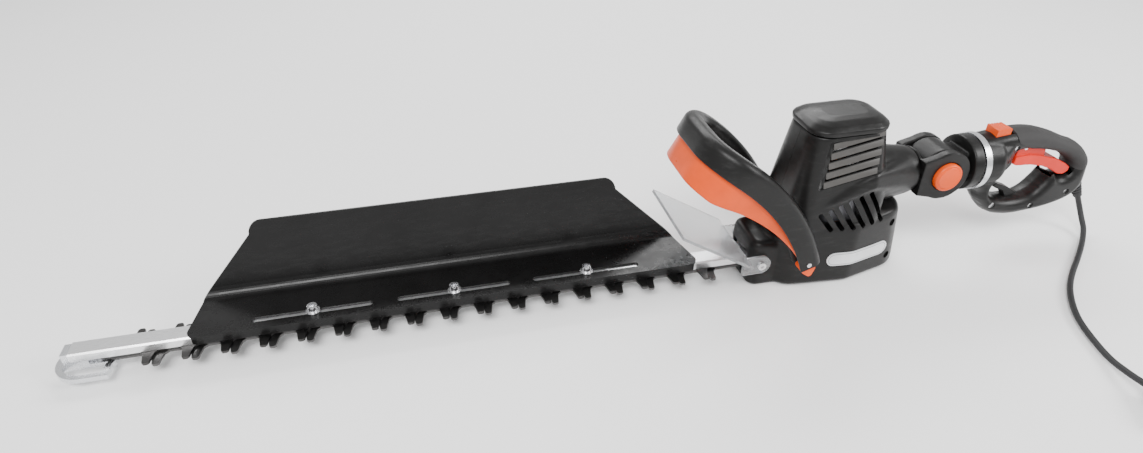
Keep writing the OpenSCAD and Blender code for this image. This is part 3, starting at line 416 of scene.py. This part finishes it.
CORD_R = 3.1
RELIEF_TIP = np.array([341.0, -5.0, 42.0])
RELIEF_DIR = np.array([0.5, -0.15, -0.85]) / np.linalg.norm([0.5, -0.15, -0.85])
PLUG_X, PLUG_Y, PLUG_Z = 190, -262, 13
ROUTE = [
    tuple(RELIEF_TIP), (346, -8, 30), (347, -16, 18), (343, -28, 9), (332, -41, 4),
    (314, -57, 4), (292, -75, 4), (268, -94, 4), (246, -114, 4), (227, -137, 4),
    (212, -162, 4), (202, -190, 4), (195, -217, 5), (191, -240, 9), (PLUG_X, PLUG_Y, PLUG_Z),
]


def between(a, b, c, d, t):
    """Catmull-Rom point between b and c."""
    return 0.5 * (2 * b + (c - a) * t + (2 * a - 5 * b + 4 * c - d) * t * t
                  + (3 * b - 3 * c + d - a) * t ** 3)


def smooth_route(points, steps):
    """Catmull-Rom curve through the points."""
    p = [np.array(q, float) for q in points]
    out = []
    for i in range(len(p) - 1):
        ends = p[max(i - 1, 0)], p[i], p[i + 1], p[min(i + 2, len(p) - 1)]
        out += [between(*ends, k / steps) for k in range(steps)]
    out.append(p[-1])
    return out


def tube(name, route, radius, sides=24):
    """Round tube with an untwisted frame."""
    points = []
    side = np.array([0.0, 1.0, 0.0])
    for i, p in enumerate(route):
        t = route[min(i + 1, len(route) - 1)] - route[max(i - 1, 0)]
        t = t / np.linalg.norm(t)
        side = side - t * (side @ t)
        side = side / np.linalg.norm(side)
        up = np.cross(t, side)
        points += [tuple(p + side * u + up * v) for u, v in round_points(radius, sides)]
    return solid(name, points, ring_faces(len(route), sides))


cord_line = smooth_route(ROUTE, 8)
cord = tube("mains_cord", cord_line, CORD_R)
finish_piece(cord, "handle", black_rubber, "cord_rubber", "power_cord", angle=60)

# relief sleeve, ribbed towards its tip
relief_profile = [(0, -30), (7.8, -30), (7.9, -22)]
for k in range(4):
    h = -18.6 + 4.2 * k
    w = 7.3 - 0.62 * k
    relief_profile += [(w, h - 1.0), (w, h + 1.0), (w - 0.4, h + 1.3)]
    relief_profile += [(4.6, h + 1.5), (4.6, h + 2.7), (w - 0.9, h + 2.9)]
relief_profile += [(4.8, -1.0), (4.4, -0.1), (0, -0.1)]
relief_turn = Vector(RELIEF_DIR).to_track_quat("Z", "Y").to_matrix().to_4x4()
relief_matrix = Matrix.Translation(Vector(RELIEF_TIP * MM)) @ relief_turn
relief = lathe("cord_relief", relief_profile, relief_matrix)
finish_piece(relief, "handle", black_rubber, "cord_rubber", "strain_relief", angle=40)

# plug: radii along its length, widening into two lobes
plug_points = []
for back, r in ((0, 5.6), (4, 6.0)):
    plug_points += disc_y(PLUG_X, PLUG_Y - back, PLUG_Z, r)
for s in SIDES:
    for back, r in ((24, 8.8), (31, 12.2), (41.8, 12.4)):
        plug_points += disc_y(PLUG_X + 5 * s, PLUG_Y - back, PLUG_Z, r)
plug_body = softened(hull("plug_body", plug_points), 0.8, 6)
finish_piece(plug_body, "handle", black_rubber, "cord_rubber", "plug")
PIN_PROFILE = [(0, 0), (2.4, 0), (2.4, 17.6), (2.1, 18.6), (1.4, 19.3), (0, 19.4)]
pins = []
for s in SIDES:
    pin_at = facing_near(PLUG_X + 9.5 * s, PLUG_Y - 41.5, PLUG_Z)
    pins.append(lathe("pin", PIN_PROFILE, pin_at, 32))
plug_pins = joined("plug_pins", pins)
finish_piece(plug_pins, "handle", polished, None)

# ---------------------------------------------------------------- body

CAP_Z, HUMP_Z, NECK_Z, NECK_END = 177, 191, 110, 90
HIP_Z = 95                  # the hump's sides lean in above this height
INSET = 0.3                 # the form lies this far inside the CAD faces
SKIN = 2.5                  # wall of the visible shells


def body_form():
    """Outer form of the body below its cap, a hair inside the CAD faces."""
    g = INSET
    nose, low, hump, neck, brow = [], [], [], [], []
    for s in SIDES:
        for x in (-84, -64):
            for z, r in ((g, 9.5), (3.5, 12 - g), (49.5, 12 - g), (54.4, 10), (57 - g, 6)):
                nose += disc(x, s * 18, z, r)
        for z, r in ((g, 24 - g), (g + 4, 28 - g), (67, 28 - g), (72.5, 26), (75 - g, 21)):
            low += disc(-44, s * 12.4, z, r)
        for z, r in ((g, 22 - g), (g + 4, 26 - g), (68, 26 - g), (74, 24.5), (78 - g, 19)):
            low += disc(12, s * 19.4, z, r)
        for z in (55, HIP_Z):
            hump += disc(-40, s * 19, z, 22 - g) + disc(28, s * 19, z, 22 - g)
        for x in (-29, 16):
            hump += disc(x, s * 13, CAP_Z - g, 20 - g)
        # brow that runs from the front of the hump back into the neck
        brow += [(-44, s * 38.5, 95.5), (-44, s * 37, 104), (-20, s * 42, 104)]
        brow += [(24, s * 43.4, 119), (24, s * 40.5, 131)]
    for z, r in ((g, 30 - g), (g + 4, 34 - g), (g + 12, 34 - g)):
        low += disc(58, 0, z, r)
    low += disc(51, 0, 71, 34 - g) + disc(51, 0, 76, 32) + disc(51, 0, 79 - g, 27)
    brow += disc_x(NECK_END - 9, 0, NECK_Z, 27) + [(-30, 0, 100), (24, 0, 132)]
    for x, r in ((20, 36 - g), (NECK_END - 9, 27.2), (NECK_END - g, 25)):
        neck += disc_x(x, 0, NECK_Z, r)
    form = hull("form", low)
    for n, p in (("nose", nose), ("hump", hump), ("neck", neck), ("brow", brow)):
        cut(form, hull(n, p), "UNION")
    return form


def pushed(name, source, outward):
    """A form moved outwards along its normals, in millimetres."""
    o = add_object(name, source.data.copy())
    m = o.modifiers.new("push", "DISPLACE")
    m.strength = outward * MM
    m.mid_level = 0
    return evaluated(o)


def along_side(side, corners, y0, y1, r):
    """Rounded prism through the side of the body; corners are (x, z)."""
    points = []
    for x, z in corners:
        points += disc_y(x, side * y0, z, r, 16) + disc_y(x, side * y1, z, r, 16)
    return hull("prism", points)


form = softened(body_form(), 1.3, 12)
HALF_WIDTH = 41             # of the hump, up to HIP_Z
SIDE_LEAN = math.atan2(8, CAP_Z - HIP_Z)
LOUVRES = 4
LOUVRE_RISE = math.tan(math.radians(10))


def louvre_line(k, x):
    """Height of the lower edge of slot k at x."""
    return 129 + 10.5 * k + (x + 34 - 1.2 * k) * LOUVRE_RISE


def leaned(obj, side):
    """Leans an upright prism in from HIP_Z, so that it lies along the hump's side."""
    turn = Matrix.Rotation(side * SIDE_LEAN, 4, "X")
    base = Matrix.Translation(Vector((0, side * HALF_WIDTH, HIP_Z)) * MM)
    obj.data.transform(base @ turn @ base.inverted())
    return obj


def half_of(obj, side, x0, x1, top, seam):
    """Keeps the half of obj on one side, with half the seam's gap."""
    if side > 0:
        return cut(obj, block("half", (x0, -60, -10), (x1, seam, top)))
    return cut(obj, block("half", (x0, -seam, -10), (x1, 60, top)))


# sunk louvre field on both sides of the hump
for s in SIDES:
    corners = ((-38, 123.5), (31, 135), (26, 172), (-32, 171))
    field = along_side(s, corners, HALF_WIDTH - 2.0, HALF_WIDTH + 9, 2.2)
    cut(form, leaned(field, s))
skin = add_object("skin", form.data.copy())
cut(skin, pushed("core", form, -SKIN))
VENTS = [((-32 + 11 * i, 91 + 3.8 * i), (-17 + 12.6 * i, 72)) for i in range(6)]
BOW_SCREW, GUARD_SCREW = (-56, 61), (-86, 31)
SHELL_SCREWS = ((70, 18), (66, 62))
for s in SIDES:
    for vent in VENTS:
        cut(skin, along_side(s, vent, 30, 60, 2.6))
    for k in range(LOUVRES):
        x0, x1 = -33 + 1.2 * k, 19 + 1.2 * k
        ends = [(x, louvre_line(k, x) + dz) for x in (x0, x1) for dz in (0.4, 3.2)]
        cut(skin, along_side(s, ends, 20, 60, 0.3))
    cut(skin, along_side(s, (BOW_SCREW,), 30, 60, 5.2))
    cut(skin, along_side(s, (GUARD_SCREW,), 20, 60, 2.6))
for place in SHELL_SCREWS:
    cut(skin, along_side(-1, (place,), 19, 60, 4.3))
cut(skin, block("mouth", (-120, -17, 10), (-80, 17, 38)))
cut(skin, block("below", (-60, -60, -5), (80, 60, -0.2)))
core = pushed("core", form, -0.9)
for side, name, node_name in ((1, "shell_left", "left_shell"), (-1, "shell_right", "right_shell")):
    part = copy_of(name, node_name)
    cut(part, core, "INTERSECT", keep=True)
    cut(part, skin, "UNION", keep=True)
    half_of(part, side, -200, 200, 300, 0.12)
    cut(part, block("open", (-200, -60, CAP_Z), (200, 60, 300)))
    finish_piece(part, "main_body", black, "body_plastic", node_name)
bpy.data.objects.remove(core)
bpy.data.objects.remove(skin)

# cap with its overhanging lip
crown, hollow = [], []
for s in SIDES:
    for x in (-29, 16):
        crown += disc(x, s * 13, CAP_Z + 0.5, 21) + disc(x, s * 13, CAP_Z + 5.5, 21.8)
        crown += disc(x * 0.9, s * 11, HUMP_Z - 4.2, 18.5) + disc(x * 0.86, s * 9, HUMP_Z - 1.4, 13)
        crown += disc(x * 0.7, s * 6, HUMP_Z - 0.1, 7)
        hollow += disc(x, s * 13, CAP_Z - 1, 16) + disc(x, s * 13, CAP_Z + 3, 16)
        hollow += disc(x * 0.9, s * 10, HUMP_Z - 4.5, 11)
cap = softened(hull("cap", crown), 1.0, 5)
cut(cap, hull("hollow", hollow))
cut(cap, block("b", (-200, -60, 150), (200, 60, CAP_Z + 0.5)))
finish_piece(cap, "main_body", black_cap, "cap_plastic", "motor_cap")

# louvre slats: deep at the top edge, level with the side at the bottom edge
slats = []
for s in SIDES:
    for k in range(LOUVRES + 1):
        ring = []
        for x in (-34 + 1.2 * k, 25 + 0.3 * k):
            low = louvre_line(k, x) - 6.6
            for y, z in ((-0.4, low), (-2.6, low), (-2.6, low + 6.2), (-1.9, low + 6.2)):
                ring.append((x, s * (HALF_WIDTH + y), z))
        slats.append(leaned(hull("slat", ring), s))
louvres = joined("louvres", slats)
bevel = louvres.modifiers.new("bevel", "BEVEL")
bevel.width = 0.35 * MM
bevel.segments = 2
evaluated(louvres)
# the slats take the grey painted-highlight colour, though they are the same black plastic as the body
finish_piece(louvres, "main_body", louvre_painted_highlight, "body_plastic")


# badge plate and its line, both plain
def plate(name, radius, ends, outward, depth):
    """Stadium plate that follows the side wall."""
    p = pushed(name, form, outward)
    cut(p, along_side(-1, ends, 20, 60, radius), "INTERSECT")
    cut(p, pushed("inner", form, outward - depth))
    return p


BADGE_ENDS = ((-6, 33), (56, 33))
LINE_ENDS = ((-5.5, 33), (55.5, 33))
badge = plate("badge_plate", 8.3, BADGE_ENDS, 1.1, 1.4)
finish_piece(badge, "main_body", white, "badge_plate", "badge")
badge_line = plate("badge_line", 7.0, LINE_ENDS, 1.16, 0.5)
cut(badge_line, along_side(-1, LINE_ENDS, 20, 60, 6.5))
finish_piece(badge_line, "main_body", dark_line, "badge_plate")
bpy.data.objects.remove(form)

# ---------------------------------------------------------------- front bow and its lever

BOW_X, BOW_Z = -48, 43              # foot of the bow's legs
BOW_LEN, BOW_HALF, BOW_R = 176, 54.5, 38
LEAN0, LEAN1 = math.radians(20), math.radians(60)
BEND = (LEAN1 - LEAN0) / BOW_LEN


def bow_point(y, s, n):
    """Point at s along the curved legs and n in front of them."""
    a = LEAN0 + BEND * s
    return (BOW_X + (math.cos(a) - math.cos(LEAN0)) / BEND - n * math.cos(a), y,
            BOW_Z + (math.sin(a) - math.sin(LEAN0)) / BEND - n * math.sin(a))


def arch(s0):
    """Stations along the whole arch: y, s, and the outward direction."""
    flat, straight = BOW_HALF - BOW_R, BOW_LEN - BOW_R
    half = [(-BOW_HALF, s0 + (straight - s0) * i / 36, -1.0, 0.0) for i in range(36)]
    for i in range(25):
        c, w = math.cos(math.radians(90 * i / 24)), math.sin(math.radians(90 * i / 24))
        half.append((-flat - BOW_R * c, straight + BOW_R * w, -c, w))
    for i in range(1, 5):
        half.append((-flat * (1 - i / 5), BOW_LEN, 0.0, 1.0))
    return half + [(-y, s, -a, b) for y, s, a, b in reversed(half)]


def swept(name, s0, section):
    """Bar along the arch; section(s) gives its closed outline as (outwards, forwards)."""
    points, count = [], 0
    stations = arch(s0)
    for y, s, a, b in stations:
        ring = section(s)
        count = len(ring)
        points += [bow_point(y + u * a, s + u * b, n) for u, n in ring]
    return solid(name, points, ring_faces(len(stations), count))


def arc(cx, cy, r, a0, a1, n=7, ry=None):
    """Points of an arc between two angles in degrees."""
    ry = r if ry is None else ry
    return [(cx + r * math.cos(math.radians(a0 + (a1 - a0) * i / (n - 1))),
             cy + ry * math.sin(math.radians(a0 + (a1 - a0) * i / (n - 1)))) for i in range(n)]


def bow_section(s):
    """Rounded bar, open to the front for the lever."""
    swell = math.sin(math.pi * min(1, max(0, s / BOW_LEN)))
    w = 10.6 + 1.3 * swell
    back = -14.6 - 1.3 * swell
    return (arc(-w + 1.5, 8.4, 1.5, 90, 180, 4) + arc(-w + 8, back + 8.5, 8, 180, 270, 9, 8.5)
            + arc(w - 8, back + 8.5, 8, 270, 360, 9, 8.5) + arc(w - 1.5, 8.4, 1.5, 0, 90, 4)
            + [(8.6, 9.2), (8.3, 8.4)] + [(8.3, -6.5)] + arc(6.3, -6.8, 2, 0, -90, 4)
            + arc(-6.3, -6.8, 2, -90, -180, 4) + [(-8.3, -6.5), (-8.3, 8.4), (-8.6, 9.2)])


def lever_section(s):
    """Flat bar that grows deeper towards the top of the arch."""
    front = 4 + 34 * min(1, max(0, s / (BOW_LEN - 20)))
    w = 4.9 + 2.4 * max(0, 1 - max(0, s) / 16)
    r = min(2.2, front / 2 - 0.1)
    return (arc(w - r, front - r, r, 0, 90, 5) + arc(-w + r, front - r, r, 90, 180, 5)
            + arc(-w + 1, 1.1, 1, 180, 270, 4) + arc(w - 1, 1.1, 1, 270, 360, 4))


bow = swept("bow", 0.3, bow_section)
finish_piece(bow, "main_body", black, "body_plastic", "front_bow", angle=45)
lever = swept("lever", -3, lever_section)
for side in SIDES:
    foot = []
    for along, front, r in ((-9.5, 0.5, 3.2), (-3.2, 4.0, 4.0), (-3.4, -3.5, 4.0)):
        x, _, z = bow_point(0, along, front)
        for y in (side * BOW_HALF - 7.6, side * BOW_HALF + 7.6):
            foot += disc_y(x, y, z, r, 20)
    cut(lever, softened(hull("foot", foot), 0.5, 4), "UNION")
finish_piece(lever, "front_lever", orange, "orange_plastic", "front_lever", angle=45)

# ---------------------------------------------------------------- tilt joint

fork = softened(copy_of("fork", "tilt_fork"), 0.9, 14)
finish_piece(fork, "main_body", black, "body_plastic", "tilt_fork")
hub = softened(copy_of("hub", "tilt_hub"), 0.9, 12)
finish_piece(hub, "tilt", black, "body_plastic", "tilt_hub")
BUTTON_PROFILE = [
    (0, -3.7), (16, -3.7), (16, 2.4), (15.7, 3.4), (14.9, 4.4), (14.1, 4.7), (13.6, 4.3),
    (13.1, 4.1), (12.6, 4.4), (12, 4.9), (9, 4.6), (5, 4.3), (0, 4.2),
]
button = lathe("button", BUTTON_PROFILE, facing_near(121, -27, NECK_Z), 96)
finish_piece(button, "tilt_button", orange, "orange_plastic", "tilt_button")

# ---------------------------------------------------------------- rear handle

GRIP = [
    (150, 86), (150, 110), (150, 136), (184, 142), (204, 144), (232, 144), (258, 138),
    (284, 127), (308, 117), (324, 100), (329, 80), (329, 62), (316, 47), (290, 38),
    (258, 34), (232, 34), (208, 41), (191, 59), (182, 74),
]
HOLE = [
    (219, 119), (219, 104), (207, 88), (203, 71), (214, 60), (238, 56), (260, 60), (273, 73),
    (282, 87), (291, 79), (301, 79), (307, 88), (299, 99), (280, 110), (250, 118),
]
HOOK = [(248, 59), (232, 69), (215, 76), (211, 74), (213, 71), (227, 64), (233, 55)]
HANDLE_SCREWS = ((212, 127), (208, 53), (262, 46), (306, 59))


def closed_curve(points, steps):
    """Closed Catmull-Rom curve through the points."""
    n, out = len(points), []
    p = [np.array(q, float) for q in points]
    for i in range(n):
        ends = p[i - 1], p[i], p[(i + 1) % n], p[(i + 2) % n]
        out += [between(*ends, k / steps) for k in range(steps)]
    return np.array(out)


def signed_distance(points, loop):
    """Distance to a closed loop, positive inside it, and the nearest point on it."""
    a, b = loop, np.roll(loop, -1, axis=0)
    best = np.full(len(points), 1e9)
    near = np.zeros_like(points)
    inside = np.zeros(len(points), bool)
    for p, q in zip(a, b):
        d = q - p
        t = np.clip(((points - p) @ d) / (d @ d), 0, 1)
        c = p + t[:, None] * d
        dist = np.linalg.norm(points - c, axis=1)
        closer = dist < best
        best[closer] = dist[closer]
        near[closer] = c[closer]
        crosses = (p[1] > points[:, 1]) != (q[1] > points[:, 1])
        with np.errstate(divide="ignore", invalid="ignore"):
            x = (q[0] - p[0]) * (points[:, 1] - p[1]) / (q[1] - p[1]) + p[0]
        inside ^= crosses & (points[:, 0] < x)
    return np.where(inside, best, -best), near


def inflated(name, outline, hole, half, reach, step):
    """Round-edged bar between an outline and a hole, in the XZ plane."""
    lo, hi = outline.min(0) - step, outline.max(0) + step
    xs = np.arange(lo[0], hi[0] + step, step)
    zs = np.arange(lo[1], hi[1] + step, step)
    grid = np.array([(x, z) for z in zs for x in xs])
    d_out, near_out = signed_distance(grid, outline)
    d_hole, near_hole = signed_distance(grid, hole)
    d_hole = -d_hole
    d = np.minimum(d_out, d_hole)
    near = np.where((d_out < d_hole)[:, None], near_out, near_hole)
    keep = d > -0.62 * step
    w = len(xs)
    starts = [i for r in range(len(zs) - 1) for i in range(r * w, r * w + w - 1)]
    cells = [(i, i + 1, i + w + 1, i + w) for i in starts
             if keep[i] and keep[i + 1] and keep[i + w] and keep[i + w + 1]]
    used = sorted({i for c in cells for i in c})
    index = {i: k for k, i in enumerate(used)}
    # vertices on the rim are drawn onto the outline
    edge_count = {}
    for c in cells:
        for k in range(4):
            e = (c[k], c[(k + 1) % 4])
            edge_count[frozenset(e)] = edge_count.get(frozenset(e), 0) + 1
    rim = {i for e, n in edge_count.items() if n == 1 for i in e}
    flat = grid.copy()
    for i in rim:
        flat[i] = near[i]
        d[i] = 0
    t = np.clip(d / reach, 0, 1)
    height = half * (1 - (1 - t) ** 2.3) ** (1 / 2.1) + 0.25
    top = [(flat[i][0], height[i], flat[i][1]) for i in used]
    bottom = [(flat[i][0], -height[i], flat[i][1]) for i in used]
    n = len(used)
    faces = [tuple(index[i] for i in c) for c in cells]
    faces += [tuple(index[i] + n for i in reversed(c)) for c in cells]
    for c in cells:
        for k in range(4):
            a, b = c[k], c[(k + 1) % 4]
            if edge_count[frozenset((a, b))] == 1:
                faces.append((index[b], index[a], index[a] + n, index[b] + n))
    return solid(name, top + bottom, faces)


grip_outline, hole_outline = closed_curve(GRIP, 8), closed_curve(HOLE, 8)
grip_form = inflated("grip_form", grip_outline, hole_outline, 16.4, 11.5, 1.5 * FINE)
collar, flare = [], []
for x, r in ((172.4, 29.7), (190, 29.7), (194, 28), (196.2, 25)):
    collar += disc_x(x, 0, NECK_Z, r)
cut(grip_form, hull("collar", collar), "UNION")
for x in (188, 192):
    flare += disc_x(x, 0, NECK_Z, 28)
flare += [(216, s * 12.5, z) for s in SIDES for z in (116, 137)]
flare += [(204, s * 12, 88) for s in SIDES]
cut(grip_form, hull("flare", flare), "UNION")
softened(grip_form, 1.1, 8)
cut(grip_form, block("front", (100, -60, 0), (172.35, 60, 220)))
grip_skin = add_object("grip_skin", grip_form.data.copy())
cut(grip_skin, pushed("grip_core", grip_form, -2.6))
hook_points = [(x, y, z) for y in (-4.8, 4.8) for x, z in HOOK]
hook = solid("hook", hook_points, ring_faces(2, len(HOOK)))
cut(grip_skin, softened(hook, 0.6, 5), "UNION")
cut(grip_skin, block("slot", (216, -11.6, 79), (310, 11.6, 112)))
cut(grip_skin, block("slot", (216, -9.2, 95), (276, 9.2, 131)))
cut(grip_skin, block("pocket", (185.7, -9.3, 133), (210, 9.3, 163)))
bore_at = Matrix.Translation(Vector((160, 0, NECK_Z)) * MM) @ Matrix.Rotation(QUARTER, 4, "Y")
cut(grip_skin, lathe("bore", [(0, 0), (24.5, 0), (24.5, 40), (0, 40)], bore_at))
cut(grip_skin, lathe("exit", [(0, -60), (8.1, -60), (8.1, 20), (0, 20)], relief_matrix))
for place in HANDLE_SCREWS:
    cut(grip_skin, along_side(-1, (place,), 8, 60, 3.7))
grip_core = pushed("grip_core", grip_form, -1.0)
for side, name, node_name in ((1, "grip_left", "handle_left"), (-1, "grip_right", "handle_right")):
    part = copy_of(name, node_name)
    cut(part, grip_core, "INTERSECT", keep=True)
    cut(part, grip_skin, "UNION", keep=True)
    half_of(part, side, 100, 400, 220, 0.1)
    finish_piece(part, "handle", black, "body_plastic", node_name)

# soft inlay over the top of the grip
inlay = pushed("inlay", grip_form, 0.55)
reach = []
for x, z in ((219, 141), (262, 132), (296, 113), (312, 96)):
    reach += disc_y(x, -20, z, 9, 24) + disc_y(x, 20, z, 9, 24)
cut(inlay, hull("reach", reach), "INTERSECT")
cut(inlay, pushed("inner", grip_form, -0.6))
finish_piece(inlay, "handle", grip_rubber, "cord_rubber")
for o in (grip_form, grip_skin, grip_core):
    bpy.data.objects.remove(o)

catch = softened(copy_of("catch", "rotation_catch"), 0.5, 16)
finish_piece(catch, "catch", orange, "orange_plastic", "rotation_catch")
pull = softened(copy_of("pull", "trigger"), 0.6, 12)
finish_piece(pull, "trigger", red, "red_plastic", "trigger")

# ---------------------------------------------------------------- CAD pieces that show as they are

LOOKS = {
    steel: ("upper_blade",),
    dark_steel: ("lower_blade",),
    aluminium: ("blade_rail",),
    silver: ("tip_guard", "swivel_ring"),
    black_sheet: ("collector",),
    polished: ("collector_bolts", "lower_bearing", "upper_bearing"),
    cast: ("gearbox_housing", "gearbox_plate", "bearing_bracket"),
    gear_steel: ("gear_shaft", "drive_gear", "motor_shaft"),
    bronze: ("thrust_spacer", "brush_holders"),
    lamination: ("armature_core", "stator_core"),
    copper: ("armature_winding", "stator_coils", "commutator"),
    fan_grey: ("cooling_fan",),
    carbon: ("carbon_brushes",),
    grey: ("front_switch", "main_switch"),
    clear: ("hand_guard",),
    zinc: ("blade_screws", "blade_washers", "tip_screws", "collector_washers", "rail_screws",
           "gearbox_screws", "brush_springs", "tilt_spring", "catch_spring", "shell_screws",
           "guard_screws", "lever_pins", "bow_screws", "tilt_pin", "handle_screws", "trigger_pin"),
}
BEVELS = {
    "upper_blade": 0.35, "lower_blade": 0.35, "blade_rail": 0.5, "tip_guard": 1.2,
    "collector": 0.5, "collector_bolts": 0.6, "collector_washers": 0.25, "rail_screws": 0.4,
    "guard_screws": 0.5, "shell_screws": 0.3, "hand_guard": 0.9, "swivel_ring": 1.2,
    "blade_screws": 0.4, "gearbox_housing": 0.8, "gearbox_plate": 0.4,
}
for name, material in [(n, m) for m, names in LOOKS.items() for n in names]:
    obj = NODES[name]
    shaded(obj, material, 35)
    if name in BEVELS:
        b = obj.modifiers.new("edge", "BEVEL")
        b.width = BEVELS[name] * MM
        b.segments = 3
        b.limit_method = "ANGLE"
        b.angle_limit = math.radians(40)
        b.harden_normals = True

# ---------------------------------------------------------------- floor and light

floor_mesh = bpy.data.meshes.new("floor")
FLOOR_Z, FLOOR_HALF = -0.0006, 6
corners = [(x * FLOOR_HALF, y * FLOOR_HALF, FLOOR_Z) for x, y in ((-1, -1), (1, -1), (1, 1), (-1, 1))]
floor_mesh.from_pydata(corners, [], [(0, 1, 2, 3)])
floor = add_object("floor", floor_mesh)
floor_look, floor_tree, floor_bsdf = tree_of("floor")
floor_noise = noise(floor_tree, coordinates(floor_tree), 3, 3)
floor_colour = mixed(floor_tree, floor_noise, (0.93, 0.93, 0.93), (0.95, 0.95, 0.95))
floor_tree.links.new(floor_colour, floor_bsdf.inputs["Base Color"])
floor_bsdf.inputs["Roughness"].default_value = 0.9
floor.data.materials.append(floor_look)

world = bpy.data.worlds.new("studio")
bpy.context.scene.world = world
world.use_nodes = True
background = world.node_tree.nodes["Background"]
background.inputs["Color"].default_value = (1, 1, 1, 1)
background.inputs["Strength"].default_value = 0.85


def area_light(name, location, target, size, power):
    """Soft rectangular light aimed at a point."""
    data = bpy.data.lights.new(name, "AREA")
    data.shape = "RECTANGLE"
    data.size, data.size_y = size
    data.energy = power
    obj = bpy.data.objects.new(name, data)
    bpy.context.scene.collection.objects.link(obj)
    obj.location = location
    obj.rotation_mode = "QUATERNION"
    obj.rotation_quaternion = (Vector(target) - Vector(location)).to_track_quat("-Z", "Y")


area_light("key", (-0.9, -1.3, 1.9), (0, 0, 0.05), (1.4, 0.9), 60)
area_light("right", (1.4, -0.7, 1.1), (0.1, 0, 0.08), (0.7, 0.7), 24)
area_light("back", (0.1, 1.5, 1.4), (-0.1, 0, 0.08), (2.0, 0.5), 30)
